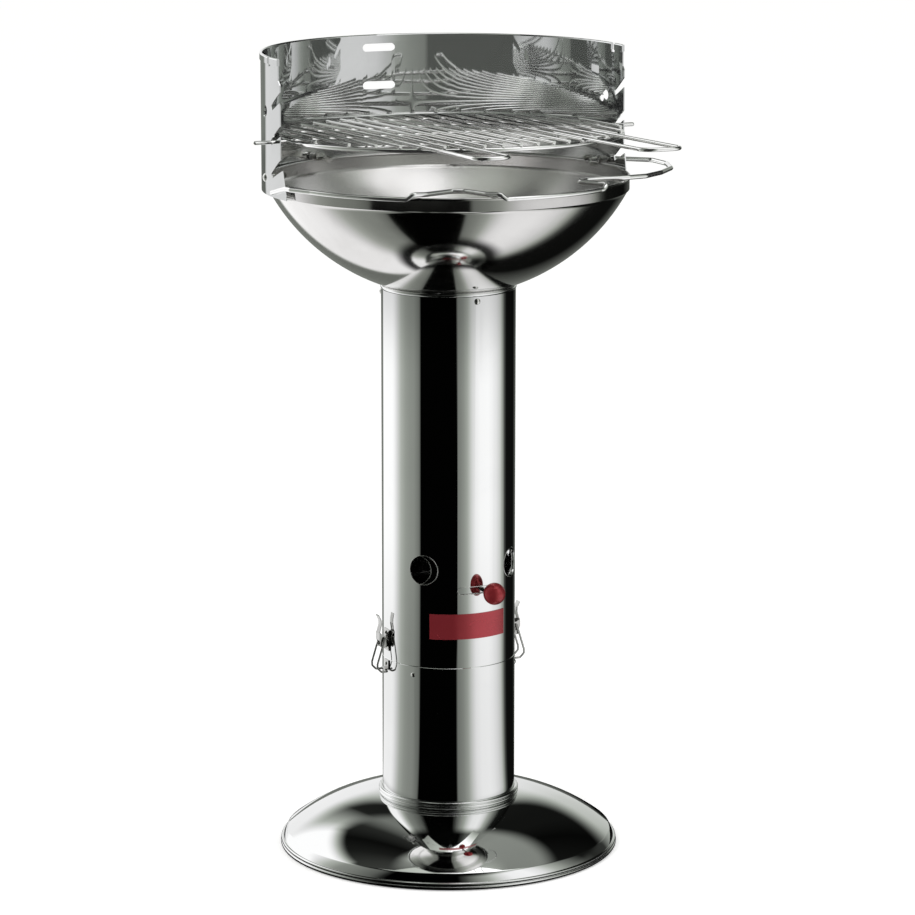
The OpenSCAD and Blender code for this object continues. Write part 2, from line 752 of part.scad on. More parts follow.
// The hand loop starts at the rail's end, turns back inside the rim and passes out over it
module rail_loop() {
    far = band_r + loop_out;
    over_z = rail_over_z - 0.4;
    path = [around(rail_arc_r, rail_joint_angle + 0.1, rail_z), around(rail_arc_r + 1, 31.5, rail_z),
        around(rail_arc_r + 1.5, 33.5, rail_over_z + 1), around(rail_arc_r - 12, 34.5, rail_over_z),
        around(band_r - 41, 35, rail_over_z), around(band_r - 38, 41, rail_over_z),
        around(band_r + 4, 52, rail_over_z), around(band_r + 22, 57, over_z),
        around(far - 26, 65, over_z), around(far - 9, 74, over_z), around(far - 3, 83, over_z),
        around(far - 6, 91, over_z), around(far - 34, 97, over_z), around(screen_side_r + 0.6, 103, over_z),
        around(screen_side_r + 0.2, 107, over_z)];
    color("silver") wire(bent(path, 11, 4), rail_r);
}

// Side view of what is cut from the screen's front edges: the toe, three slots and the neck
module screen_edge_cut() {
    front = edge_y - 60;
    slots = [for (i = [0:2]) each [
        [edge_y - (i == 0 ? toe_high : 0), slot_tip_z[i]], [slot_low_y, slot_tip_z[i] - slot_drop],
        [slot_end_y, slot_tip_z[i] - slot_drop + slot_end_h], [edge_y, slot_tip_z[i] + slot_mouth_h]]];
    step_z = slot_tip_z[2] + slot_mouth_h + 9;
    polygon(concat([[front, screen_low - over], [edge_y - toe_low, screen_low - over]], slots,
        [[edge_y, step_z], [neck_y, step_z + 5], [neck_y, screen_top + over],
            [front, screen_top + over]]));
}

module windscreen() {
    hem_turn = 1.8;
    color("silver")
        difference() {
            union() {
                strip(screen_in, screen_r, screen_low, screen_top - 1, toe_angle, 360 - toe_angle);
                // Rolled hem along the top
                rotate([0, 0, toe_angle - 90])
                    rotate_extrude(angle = 360 - 2 * toe_angle, $fn = 180)
                        polygon(concat(arc([screen_r - 0.6, screen_top - hem_turn], hem_turn, 0, 180, 8),
                            [[screen_r - 0.6 - hem_turn, screen_top - hem_h],
                                [screen_r - 0.6 + hem_turn, screen_top - hem_h]]));
            }
            rotate([90, 0, 90])
                linear_extrude(height = 2 * screen_r + 40, center = true) {
                    screen_edge_cut();
                    // Notch through the hem
                    translate([notch_y - notch_w / 2, screen_top - notch_depth])
                        square([notch_w, notch_depth + over]);
                }
            // Keyholes for a spit: a round hole with a smaller seat behind and below it
            for (s = [-1, 1]) {
                facing(s * spit_angle) outward(screen_in - 5, screen_r + 5, spit_r, spit_z);
                facing(s * spit_seat_angle) outward(screen_in - 5, screen_r + 5, spit_seat_r, spit_z - 5);
            }
            // Long vents in the back
            for (z = vent_z)
                translate([0, screen_r, z]) rotate([90, 0, 0])
                    linear_extrude(height = 30, center = true)
                        obround(vent_len, vent_h);
            for (a = bolt_angles)
                facing(a) outward(screen_in - 5, screen_r + 5, bolt_r + hole_fit, bolt_z);
        }
}

module windscreen_bolts() {
    color("silver")
        for (a = bolt_angles)
            facing(a) {
                outward(nut_seat - 11.5, screen_r + 0.1, bolt_r, bolt_z);
                dome_head(screen_r + 0.1, bolt_head_r, bolt_head_h, bolt_z);
            }
}

module windscreen_spacers() {
    color("gray")
        for (a = bolt_angles)
            facing(a)
                difference() {
                    outward(band_r - 0.6 + rim_bead_r + 0.15, screen_in - 0.15, spacer_r, bolt_z);
                    outward(band_r - over, screen_r, bolt_r + hole_fit, bolt_z);
                }
}

module wing_nuts() {
    seat = nut_seat;
    color("silver")
        for (a = bolt_angles)
            facing(a)
                difference() {
                    union() {
                        outward(seat - 3, seat, 5.6, bolt_z);
                        outward(seat - 9, seat - 3, 4.4, bolt_z);
                        for (s = [-1, 1])
                            translate([seat - 4, s * 7.5, bolt_z + s * 3]) rotate([90, 0, 0])
                                linear_extrude(height = 1.6, center = true)
                                    polygon([[1, -3], [1, 3], [-9, 4], [-12, 1.5], [-12, -1.5], [-9, -4]]);
                        translate([seat - 6.5, 0, bolt_z]) rotate([21.8, 0, 0])
                            cube([4, 16, 2.6], center = true);
                    }
                    outward(seat - 20, seat + 1, bolt_r + hole_fit, bolt_z);
                }
}

// Tilts a piece of the grid about its pegs
module tilted() {
    translate([0, peg_y, peg_z]) rotate([-grid_tilt, 0, 0]) translate([0, -peg_y, -peg_z])
        children();
}

module grid_ring() {
    color("silver")
        tilted() translate([0, -grid_forward, 0])
            rotate_extrude($fn = 180)
                translate([grid_r, peg_z]) circle(r = grid_ring_wire_r, $fn = 24);
}

// Straight wires that lie on the ring from front to back
module grid_wires() {
    color("silver")
        tilted() for (i = [-grid_bar_last:grid_bar_last]) {
            x = i * grid_pitch;
            reach = sqrt(pow(grid_r, 2) - x * x) + 1.5;
            bar([x, -reach - grid_forward, grid_bar_z], [x, reach - grid_forward, grid_bar_z], grid_bar_r);
        }
}

// Cross bars under the wires, inside the ring
module grid_cross_bars() {
    inside = grid_r - grid_ring_wire_r - weld_gap;
    color("silver")
        tilted() for (y = cross_y) {
            far = abs(y + grid_forward) + peg_r;
            reach = sqrt(pow(inside, 2) - far * far);
            bar([-reach, y, cross_z], [reach, y, cross_z], peg_r);
        }
}

// Pegs in line with the middle cross bar, from the ring out through the screen's slots
module grid_pegs() {
    near = peg_y + grid_forward - peg_r;
    start = sqrt(pow(grid_r + grid_ring_wire_r + weld_gap, 2) - near * near);
    color("silver")
        for (s = [-1, 1]) {
            bar([s * start, peg_y, peg_z], [s * (screen_r + peg_out), peg_y, peg_z], peg_r);
            translate([s * (screen_r + peg_out), peg_y, peg_z]) sphere(r = peg_r, $fn = 24);
        }
}

// Two flat loops that lie on the ring and on the front cross bar
module grid_handles() {
    color("silver")
        tilted() for (legs = handle_legs)
            wire(bent([[legs[0], handle_inner_y, handle_z], [legs[0], -handle_reach, handle_z],
                [legs[1], -handle_reach, handle_z], [legs[1], handle_inner_y, handle_z]], 17, 6), peg_r);
}

base_dish();
ash_tube();
ash_floor();
guide_sleeve();
guide_rivets();
upper_tube();
label_plate();
regulator_rings();
regulator_sleeve();
regulator_rod();
regulator_knob();
left_latch_bracket();
left_latch_pin();
left_latch_lever();
left_latch_bail();
left_latch_catch();
right_latch_bracket();
right_latch_pin();
right_latch_lever();
right_latch_bail();
right_latch_catch();
latch_rivets();
bowl();
bowl_collar();
collar_screws();
collar_nuts();
charcoal_ring();
charcoal_bars();
rim_rail();
rail_loop();
windscreen();
windscreen_bolts();
windscreen_spacers();
wing_nuts();
grid_ring();
grid_wires();
grid_cross_bars();
grid_pegs();
grid_handles();
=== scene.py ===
# %% [markdown]
# # A pillar charcoal grill in polished steel
# The grill is a spun foot, a column of two tubes, a pressed fire bowl and an arc
# windscreen that carries a wire grid. Its solids come from a fixed frame, and no step
# moves them. This lesson gives them finishes, and makes the dishes, the wires and
# some small details finer than the frame's facets.

# %% Load the fixed frame
import math
import bmesh
import bpy
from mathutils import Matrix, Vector


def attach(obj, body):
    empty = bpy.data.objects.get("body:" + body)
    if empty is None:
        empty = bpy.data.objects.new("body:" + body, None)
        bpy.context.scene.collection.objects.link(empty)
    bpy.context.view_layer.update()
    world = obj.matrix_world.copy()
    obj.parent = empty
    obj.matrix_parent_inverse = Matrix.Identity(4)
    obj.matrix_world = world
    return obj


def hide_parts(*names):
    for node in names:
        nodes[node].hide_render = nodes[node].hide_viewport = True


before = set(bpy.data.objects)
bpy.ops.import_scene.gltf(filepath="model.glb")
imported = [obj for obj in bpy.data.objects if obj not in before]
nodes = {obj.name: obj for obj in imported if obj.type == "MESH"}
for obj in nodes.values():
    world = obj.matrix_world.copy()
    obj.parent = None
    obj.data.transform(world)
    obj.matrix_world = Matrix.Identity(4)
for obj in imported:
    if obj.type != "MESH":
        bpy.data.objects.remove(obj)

scene = bpy.context.scene
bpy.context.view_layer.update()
MM = 0.001

# %% [markdown]
# ## The camera
# A long lens stands 5 metres away and looks down by 11.6 degrees, so the rims show as
# slim ovals and the column hardly tapers. A small shift puts the column where the
# photograph's frame has it. Turning the camera instead would bend the perspective.


# %% Camera
def add_object(name, data):
    made = bpy.data.objects.new(name, data)
    scene.collection.objects.link(made)
    return made


CAMERA_SIDE, CAMERA_DOWN = math.radians(23.0), 0.202
camera_data = bpy.data.cameras.new("camera")
camera_data.lens = 152.39
camera_data.shift_x = 0.00988
camera = add_object("camera", camera_data)
camera.location = (-1.8848, -4.4403, 1.4928)
camera.rotation_euler = (math.pi / 2 - CAMERA_DOWN, 0.0, -CAMERA_SIDE)
scene.camera = camera
scene.view_settings.view_transform = "Standard"
print("camera distance", round(camera.location.length, 3))

# %% [markdown]
# ## Small helpers for shader trees
# Each finish is a node tree. Trees can be drawn by hand, but a script repeats them
# exactly. These helpers keep it short: they make a node with its settings, then sums,
# noise, fades and mixes, and a group with named sockets.


# %% A node with its settings
def add_node(tree, kind, inputs=None, **settings):
    """A node of that kind. Inputs are numbers, colours or sockets to link from."""
    made = tree.nodes.new(kind)
    for name, value in settings.items():
        setattr(made, name, value)
    for name, value in (inputs or {}).items():
        if isinstance(value, bpy.types.NodeSocket):
            tree.links.new(value, made.inputs[name])
        else:
            made.inputs[name].default_value = value
    return made


def empty_tree(owner):
    """The node tree of a material or a world, cleared."""
    owner.use_nodes = True
    owner.node_tree.nodes.clear()
    return owner.node_tree


print("node helpers ready")


# %% Sums and places
def maths(tree, operation, first, second=0.0, third=0.0, clamp=False):
    made = add_node(tree, "ShaderNodeMath", {0: first, 1: second, 2: third}, operation=operation)
    made.use_clamp = clamp
    return made.outputs[0]


def vector_maths(tree, operation, *vectors):
    """LENGTH and DOT_PRODUCT give a number, and the others give a vector."""
    made = add_node(tree, "ShaderNodeVectorMath", dict(enumerate(vectors)), operation=operation)
    return made.outputs["Value" if operation in ("LENGTH", "DOT_PRODUCT") else "Vector"]


def object_place(tree):
    return add_node(tree, "ShaderNodeTexCoord").outputs["Object"]


def xyz_of(tree, vector):
    return add_node(tree, "ShaderNodeSeparateXYZ", {0: vector}).outputs


print("place helpers ready")


# %% Noise, fades and mixes
def noise(tree, place, scale, detail, **more):
    made = add_node(tree, "ShaderNodeTexNoise", {
        "Vector": place, "Scale": scale, "Detail": detail, **more})
    return made.outputs["Fac"]


def fade(tree, value, start, end, low=0.0, high=1.0):
    """Goes smoothly from low to high while value goes from start to end."""
    made = add_node(tree, "ShaderNodeMapRange", {
        "Value": value, "From Min": start, "From Max": end, "To Min": low, "To Max": high},
        interpolation_type="SMOOTHSTEP")
    return made.outputs[0]


def mix_colour(tree, share, first, second, blend="MIX"):
    made = add_node(tree, "ShaderNodeMix", {0: share, 6: first, 7: second}, data_type="RGBA",
                    blend_type=blend)
    return made.outputs[2]


def grey(value):
    return (value, value, value, 1.0)


print("a middle grey is", grey(0.5))


# %% A group with named sockets
def new_group(name, inputs, outputs):
    """A shader group with float inputs {name: default} and outputs {name: kind}."""
    tree = bpy.data.node_groups.new(name, "ShaderNodeTree")
    for socket, value in inputs.items():
        made = tree.interface.new_socket(socket, in_out="INPUT", socket_type="NodeSocketFloat")
        made.default_value = value
    for socket, kind in outputs.items():
        tree.interface.new_socket(socket, in_out="OUTPUT", socket_type=kind)
    return tree, tree.nodes.new("NodeGroupInput"), tree.nodes.new("NodeGroupOutput")


print("group helper ready")

# %% [markdown]
# ## The studio
# Polished steel shows its surroundings and little else. The real grill was
# photographed between tall white panels and black flags, and its column shows them
# as upright bands. Panels could stand in the scene as planes, but each would need a
# place, a size and a soft edge. A dome and a floor disc that only mirrors see carry
# them all as brightness ramps round the grill, so a band moves with one number.

# %% Panels and flags as ramps round the grill
# Each pair is an angle in degrees, 0 towards the camera and growing to its right, and
# the brightness there
FLOOR_BANDS = [
    (-180, 0.20), (-152, 0.16), (-148, 0.98), (-112, 0.98), (-106, 0.90), (-98, 0.68),
    (-88, 0.42), (-78, 0.31), (-70, 0.27), (-61, 0.25), (-53, 0.18), (-50, 0.14),
    (-48, 0.0005), (13, 0.0005), (15, 0.17), (25, 0.25), (32, 0.36), (39, 0.60), (47, 0.83),
    (56, 0.92), (71, 0.94), (80, 0.88), (89, 0.77), (99, 0.58), (105, 0.30), (110, 0.07),
    (116, 0.005), (146, 0.004), (160, 0.08), (180, 0.20)]
WALL_BANDS = [
    (-180, 0.80), (-152, 0.82), (-148, 0.97), (-112, 0.97), (-104, 0.60), (-92, 0.32),
    (-78, 0.18), (-64, 0.08), (-50, 0.01), (-10, 0.01), (12, 0.03), (24, 0.18), (36, 0.38),
    (48, 0.56), (66, 0.56), (84, 0.40), (98, 0.20), (110, 0.06), (120, 0.02), (136, 0.03),
    (146, 0.26), (158, 0.47), (168, 0.55), (180, 0.80)]
MIDDLE_BANDS = [
    (-180, 0.008), (-166, 0.012), (-156, 0.40), (-149, 0.97), (-118, 0.98), (-108, 0.72),
    (-98, 0.42), (-88, 0.24), (-76, 0.18), (-60, 0.10), (-52, 0.02), (-48, 0.0005),
    (8, 0.0005), (14, 0.05), (22, 0.18), (32, 0.36), (42, 0.66), (50, 0.84), (64, 0.88),
    (74, 0.72), (84, 0.40), (96, 0.18), (106, 0.06), (112, 0.008), (146, 0.002),
    (158, 0.006), (166, 0.006), (180, 0.008)]
TOP_BANDS = [
    (-180, 0.16), (-166, 0.16), (-158, 0.02), (-146, 0.003), (-132, 0.01), (-118, 0.03),
    (-106, 0.04), (-92, 0.01), (-78, 0.001), (28, 0.001), (38, 0.03), (48, 0.09), (60, 0.10),
    (72, 0.13), (84, 0.15), (96, 0.19), (108, 0.21), (156, 0.24), (168, 0.21), (180, 0.16)]
CEILING_BANDS = [
    (-180, 0.19), (-132, 0.26), (-120, 0.15), (-108, 0.11), (-96, 0.03), (-84, 0.02),
    (-48, 0.006), (0, 0.05), (8, 0.40), (16, 0.90), (70, 0.95), (84, 0.50), (96, 0.28),
    (108, 0.21), (132, 0.16), (180, 0.19)]
print("floor ramp stops", len(FLOOR_BANDS), "wall ramp stops", len(WALL_BANDS))

# %% A ramp in a glowing material
STUDIO_GLOW, CEILING_GLOW = 1.18, 1.6
GREY_TINT, WHITE_TINT = (0.94, 1.0, 0.91, 1.0), (0.995, 0.995, 1.0, 1.0)


def band_ramp(tree, share, bands):
    ramp = tree.nodes.new("ShaderNodeValToRGB")
    tree.links.new(share, ramp.inputs["Fac"])
    stops = ramp.color_ramp.elements
    while len(stops) > 1:
        stops.remove(stops[-1])
    stops[0].position = 0.0
    stops[0].color = grey(bands[0][1])
    for angle, value in bands[1:]:
        stop = stops.new((angle + 180.0) / 360.0)
        stop.color = grey(value)
    return ramp.outputs["Color"]


def around_share(tree, place):
    """0 to 1 round the grill, 0.5 towards the camera and growing to its right."""
    split = xyz_of(tree, place)
    turned = maths(tree, "ARCTAN2", split["X"], maths(tree, "MULTIPLY", split["Y"], -1.0))
    share = maths(tree, "ADD", maths(tree, "MULTIPLY", turned, 0.5 / math.pi),
                  0.5 + CAMERA_SIDE / (2.0 * math.pi))
    return maths(tree, "FRACT", share)


def tinted(tree, colour):
    """The grey cards have a breath of green, and the white panels are neutral."""
    tint = mix_colour(tree, fade(tree, colour, 0.3, 0.8), GREY_TINT, WHITE_TINT)
    return mix_colour(tree, 1.0, colour, tint, "MULTIPLY")


def studio_material(name):
    material = bpy.data.materials.new(name)
    tree = empty_tree(material)
    place = object_place(tree)
    glow = add_node(tree, "ShaderNodeEmission", {"Strength": STUDIO_GLOW})
    add_node(tree, "ShaderNodeOutputMaterial", {"Surface": glow.outputs[0]})
    return material, tree, place, glow


print("studio glow", STUDIO_GLOW)

# %% [markdown]
# The dome is one glowing material. The height above the horizon decides which ramp
# shows: low walls, then the tall panels, the dark gap over them, and the ceiling. Soft
# steps between the ramps give the blurred ends that the photographed bands have.

# %% The dome's material
# Where one ramp gives way to the next, in degrees above the horizon
WALL_END, PANEL_END, GAP_END = (13.0, 26.0), (48.0, 57.0), (68.0, 76.0)
LEAN_BACK, LEAN_FRONT, LEAN = 0.08, 0.17, -16.0
dome_material, tree, place, glow = studio_material("studio_dome")
share = around_share(tree, place)
upward = xyz_of(tree, vector_maths(tree, "NORMALIZE", place))["Z"]
rise = maths(tree, "MULTIPLY", maths(tree, "ARCSINE", upward), 180.0 / math.pi)
walls = mix_colour(tree, fade(tree, rise, *WALL_END), band_ramp(tree, share, WALL_BANDS),
                   band_ramp(tree, share, MIDDLE_BANDS))
# The left panel leans: its top edge falls towards the back
lean = add_node(tree, "ShaderNodeMapRange", {
    "Value": share, "From Min": LEAN_BACK, "From Max": LEAN_FRONT, "To Min": LEAN, "To Max": 0.0})
over = maths(tree, "SUBTRACT", rise, lean.outputs[0])
whole = mix_colour(tree, fade(tree, over, *PANEL_END), walls, band_ramp(tree, share, TOP_BANDS))
ceiling = mix_colour(tree, 1.0, band_ramp(tree, share, CEILING_BANDS), grey(CEILING_GLOW),
                     "MULTIPLY")
whole = mix_colour(tree, fade(tree, rise, *GAP_END), whole, ceiling)
tree.links.new(tinted(tree, whole), glow.inputs["Color"])
print("dome nodes", len(tree.nodes))

# %% [markdown]
# A camera that looks down sees the column mirror the floor, not the walls. So the
# floor disc has a ramp of its own. It is dark round the foot, a painted shadow of the
# grill on the floor, and it dims a little far away, as the real studio's floor did.

# %% The disc's material
# Each fade is start and end in metres from the axis, then the levels it joins
FOOT_SHADOW, NEAR_FLOOR = (0.25, 0.35, 0.02, 1.0), (0.6, 2.2, 0.84, 1.0)
FAR_FLOOR, ROOM_HAZE, HAZE_GREY = (3.4, 4.6, 1.0, 0.7), (7.0, 8.0, 0.0, 0.14), 0.75
disc_material, tree, place, glow = studio_material("studio_disc")
share = around_share(tree, place)
reach = vector_maths(tree, "LENGTH", place)
# Painted shadow: the disc is darkened close round the foot
level = maths(tree, "MULTIPLY", fade(tree, reach, *FOOT_SHADOW), fade(tree, reach, *NEAR_FLOOR))
level = maths(tree, "MULTIPLY", level, fade(tree, reach, *FAR_FLOOR))
# Far off, where only the windscreen's inside looks, the flags fade into the room
bands = mix_colour(tree, fade(tree, reach, *ROOM_HAZE), band_ramp(tree, share, FLOOR_BANDS),
                   grey(HAZE_GREY))
tree.links.new(mix_colour(tree, level, grey(0.0), tinted(tree, bands)), glow.inputs["Color"])
print("disc nodes", len(tree.nodes))

# %% [markdown]
# ## Dome, disc and soft box
# The dome is part of a ball and the disc closes it below. A wide soft box hangs in
# front and overhead, as over a real table-top set, and gives the bowl's inside its
# bright middle. It is a body of its own, because a brighter dome would show in the
# foot too. All three are hidden from everything but mirrors, so they light nothing and
# cast no shadow.


# %% Dome and disc
def stage_mesh(name, bm, material, hidden_from):
    """A body of the set, hidden from the named kinds of ray."""
    mesh = bpy.data.meshes.new(name)
    bm.to_mesh(mesh)
    bm.free()
    for face in mesh.polygons:
        face.use_smooth = True
    mesh.materials.append(material)
    obj = add_object(name, mesh)
    for ray in hidden_from:
        setattr(obj, f"visible_{ray}", False)
    return obj


ALL_BUT_GLOSSY = ("camera", "diffuse", "shadow", "transmission", "volume_scatter")
DOME_R, DOME_LOW, DISC_DOWN = 12.0, -0.4, 0.0006
bm = bmesh.new()
bmesh.ops.create_uvsphere(bm, u_segments=96, v_segments=48, radius=DOME_R)
bmesh.ops.delete(bm, geom=[v for v in bm.verts if v.co.z < DOME_LOW], context="VERTS")
bmesh.ops.reverse_faces(bm, faces=bm.faces[:])
dome = stage_mesh("studio_dome", bm, dome_material, ALL_BUT_GLOSSY)

bm = bmesh.new()
bmesh.ops.create_circle(bm, cap_ends=True, segments=96, radius=DOME_R)
bmesh.ops.translate(bm, verts=bm.verts[:], vec=(0.0, 0.0, -DISC_DOWN))
disc = stage_mesh("studio_disc", bm, disc_material, ALL_BUT_GLOSSY)
print("dome faces", len(dome.data.polygons), "disc corners", len(disc.data.vertices))

# %% The soft box
# Each pair is a place across the box, in metres, and the brightness there
CARD_BANDS = [(-1.0, 0.20), (-0.5, 0.36), (-0.15, 0.40), (0.08, 0.85), (0.35, 0.95), (0.7, 0.95),
              (1.0, 0.50), (1.3, 0.20)]
CARD_NEAR, CARD_FAR, CARD_Z, CARD_GLOW = -0.66, -0.05, 1.9, 1.6
card_material, tree, place, glow = studio_material("studio_card")
across = xyz_of(tree, place)["X"]
card_low, card_high = CARD_BANDS[0][0], CARD_BANDS[-1][0]
card_wide = card_high - card_low
card_share = maths(tree, "DIVIDE", maths(tree, "SUBTRACT", across, card_low), card_wide)
card_stops = [(360.0 * (x - card_low) / card_wide - 180.0, value) for x, value in CARD_BANDS]
tree.links.new(tinted(tree, band_ramp(tree, card_share, card_stops)), glow.inputs["Color"])
glow.inputs["Strength"].default_value = CARD_GLOW
bm = bmesh.new()
bm.faces.new([bm.verts.new((x, y, CARD_Z)) for x, y in (
    (card_low, CARD_NEAR), (card_low, CARD_FAR), (card_high, CARD_FAR), (card_high, CARD_NEAR))])
card = stage_mesh("studio_card", bm, card_material, ALL_BUT_GLOSSY)
card.rotation_euler.z = -CAMERA_SIDE
print("soft box", round(card_wide, 2), "by", round(CARD_FAR - CARD_NEAR, 2), "metres")

# %% [markdown]
# ## The floor
# The photograph's floor is a sheet of paper, lit until it is white. A plain diffuse
# floor keeps the soft shadow under the foot, and a little glow that only the camera
# sees lifts the paper to white. A brighter lamp would do the same, but it would also
# change every shade on the grill.

# %% Pale floor
FLOOR_SIZE, FLOOR_DOWN, PAPER, PAPER_LIFT = 45.0, 0.0012, (0.86, 0.86, 0.85, 1.0), 0.38
floor_material = bpy.data.materials.new("pale_floor")
tree = empty_tree(floor_material)
paper = add_node(tree, "ShaderNodeBsdfDiffuse", {"Color": PAPER})
lift = add_node(tree, "ShaderNodeEmission", {"Color": grey(1.0), "Strength": PAPER_LIFT})
seen = add_node(tree, "ShaderNodeLightPath")
both = add_node(tree, "ShaderNodeAddShader", {0: paper.outputs[0], 1: lift.outputs[0]})
pick = add_node(tree, "ShaderNodeMixShader", {
    0: seen.outputs["Is Camera Ray"], 1: paper.outputs[0], 2: both.outputs[0]})
add_node(tree, "ShaderNodeOutputMaterial", {"Surface": pick.outputs[0]})
bm = bmesh.new()
bmesh.ops.create_grid(bm, x_segments=1, y_segments=1, size=FLOOR_SIZE)
bmesh.ops.translate(bm, verts=bm.verts[:], vec=(0.0, 0.0, -FLOOR_DOWN))
stage_mesh("floor", bm, floor_material, ["glossy"])
print("floor lift", PAPER_LIFT)

# %% [markdown]
# ## Room and lamps
# A white room gives even light from all sides, as a light tent does. Two large soft
# lamps stand left and right of the camera and give the shapes a direction. Mirrors
# don't see the lamps, because the dome already shows them what they mirror.

# %% World and lamps
ROOM_LEVEL, LAMP_TARGET = 0.72, (0.0, 0.0, 0.6)
world = bpy.data.worlds.new("white_room")
scene.world = world
tree = empty_tree(world)
path = add_node(tree, "ShaderNodeLightPath")
direct = maths(tree, "ADD", path.outputs["Is Camera Ray"], path.outputs["Is Glossy Ray"])
direct = maths(tree, "ADD", direct, path.outputs["Is Transmission Ray"], clamp=True)
room = add_node(tree, "ShaderNodeBackground", {"Color": grey(1.0), "Strength": ROOM_LEVEL})
white = add_node(tree, "ShaderNodeBackground", {"Color": grey(1.0), "Strength": 1.0})
pick = add_node(tree, "ShaderNodeMixShader", {0: direct, 1: room.outputs[0], 2: white.outputs[0]})
add_node(tree, "ShaderNodeOutputWorld", {"Surface": pick.outputs[0]})


def soft_lamp(name, place, size, watts):
    data = bpy.data.lights.new(name, "AREA")
    data.shape = "SQUARE"
    data.size = size
    data.energy = watts
    lamp = add_object(name, data)
    lamp.location = place
    lamp.rotation_euler = (Vector(LAMP_TARGET) - Vector(place)).to_track_quat("-Z", "Y").to_euler()
    lamp.visible_glossy = False
    lamp.visible_camera = False


soft_lamp("lamp_left", (-3.4, -1.6, 3.4), 2.2, 62.0)
soft_lamp("lamp_right", (3.2, -2.2, 2.6), 1.8, 34.0)

# %% [markdown]
# ## Shared effects
# Four effects return in several finishes, so each is a shader group: rings left by
# spinning or brushing round the axis, smudges from hands and cloths, a painted highlight
# that lightens edges, and painted shade that darkens recesses. Painted maps could hold
# them too, but noise in Object coordinates needs no unwrapping and stays sharp.


# %% Group: rings round the axis
tree, start, end = new_group(
    "ring_brushing", {"Density": 900.0, "Upright Density": 900.0, "Breakup": 6.0},
    {"Height": "NodeSocketFloat", "Mask": "NodeSocketFloat"})
split = xyz_of(tree, object_place(tree))
flat = add_node(tree, "ShaderNodeCombineXYZ", {"X": split["X"], "Y": split["Y"], "Z": 0.0})
radius = vector_maths(tree, "LENGTH", flat.outputs[0])
turn = maths(tree, "ARCTAN2", split["X"], split["Y"])
rings = add_node(tree, "ShaderNodeCombineXYZ", {
    "X": maths(tree, "MULTIPLY", radius, start.outputs["Density"]),
    "Y": maths(tree, "MULTIPLY", split["Z"], start.outputs["Upright Density"]),
    "Z": maths(tree, "MULTIPLY", maths(tree, "SINE", turn), start.outputs["Breakup"])})
lines = noise(tree, rings.outputs[0], 1.0, 3.0, Roughness=0.6)
tree.links.new(lines, end.inputs["Height"])
tree.links.new(fade(tree, lines, 0.35, 0.65), end.inputs["Mask"])
print(tree.name, len(tree.nodes), "nodes")

# %% Group: smudges
tree, start, end = new_group("smudges", {"Scale": 9.0, "Amount": 0.5},
                             {"Mask": "NodeSocketFloat", "Fine": "NodeSocketFloat"})
place = object_place(tree)
cloud = noise(tree, place, start.outputs["Scale"], 4.0, Roughness=0.55, Distortion=0.6)
specks = noise(tree, place, 320.0, 2.0)
soft = fade(tree, cloud, 0.42, 0.72)
tree.links.new(maths(tree, "MULTIPLY", soft, start.outputs["Amount"]), end.inputs["Mask"])
tree.links.new(specks, end.inputs["Fine"])
print(tree.name, len(tree.nodes), "nodes")

# %% Group: painted highlight on edges
tree, start, end = new_group("rubbed_edges", {"Width": 0.0008, "Strength": 6.0},
                             {"Mask": "NodeSocketFloat"})
# Painted highlight: the mask is high on edges, where the finishes lighten the colour
softened = add_node(tree, "ShaderNodeBevel", {"Radius": start.outputs["Width"]}, samples=4)
facing = add_node(tree, "ShaderNodeNewGeometry").outputs["Normal"]
same = vector_maths(tree, "DOT_PRODUCT", softened.outputs[0], facing)
bent = maths(tree, "SUBTRACT", 1.0, same)
patchy = noise(tree, object_place(tree), 160.0, 2.0)
lit_edge_mask = maths(tree, "MULTIPLY", maths(tree, "MULTIPLY", bent, start.outputs["Strength"]),
             maths(tree, "ADD", patchy, 0.3), clamp=True)
tree.links.new(lit_edge_mask, end.inputs["Mask"])
print(tree.name, len(tree.nodes), "nodes")

# %% Group: painted shade in recesses
tree, start, end = new_group("settled_smoke", {"Reach": 0.03, "Amount": 0.6},
                             {"Mask": "NodeSocketFloat"})
# Painted shade: the mask is high in recesses that ambient occlusion finds, and the finishes darken
# the colour and raise the roughness there
shade = add_node(tree, "ShaderNodeAmbientOcclusion", {
    "Distance": start.outputs["Reach"]}, samples=4)
shade_breakup = noise(tree, object_place(tree), 42.0, 4.0)
hidden = maths(tree, "SUBTRACT", 1.0, shade.outputs["AO"])
patchy_shade = maths(tree, "MULTIPLY", hidden, maths(tree, "ADD", shade_breakup, 0.4))
tree.links.new(maths(tree, "MULTIPLY", patchy_shade, start.outputs["Amount"], clamp=True),
               end.inputs["Mask"])
print(tree.name, len(tree.nodes), "nodes")

# %% [markdown]
# ## Finishes
# All the metals share one recipe, and each has its own numbers: how clear the mirror
# is, how strong the brushing is, and how much smudge and painted shade in recesses it
# carries. One recipe keeps the steels a family, as on the real grill, where they differ by polish
# alone.


# %% What the recipes share
# One of these is the gain of the painted highlight on metal edges
SMUDGE_SHARE, RING_HAZE, EDGE_HIGHLIGHT_GAIN, INNER_EDGE, BUMP_DEPTH = 0.5, 0.12, 1.08, 0.02, 0.001


def place_group(tree, name, **inputs):
    made = tree.nodes.new("ShaderNodeGroup")
    made.node_tree = bpy.data.node_groups[name]
    for socket, value in inputs.items():
        made.inputs[socket.replace("_", " ")].default_value = value
    return made


def new_finish(name):
    """A material, its tree and the shader that the recipes feed."""
    material = bpy.data.materials.new(name)
    material.use_nodes = True
    return material, material.node_tree, material.node_tree.nodes["Principled BSDF"]


def add_bump(tree, height, shader):
    grain = add_node(tree, "ShaderNodeBump", {
        "Strength": 1.0, "Distance": BUMP_DEPTH, "Height": height})
    tree.links.new(grain.outputs[0], shader.inputs["Normal"])


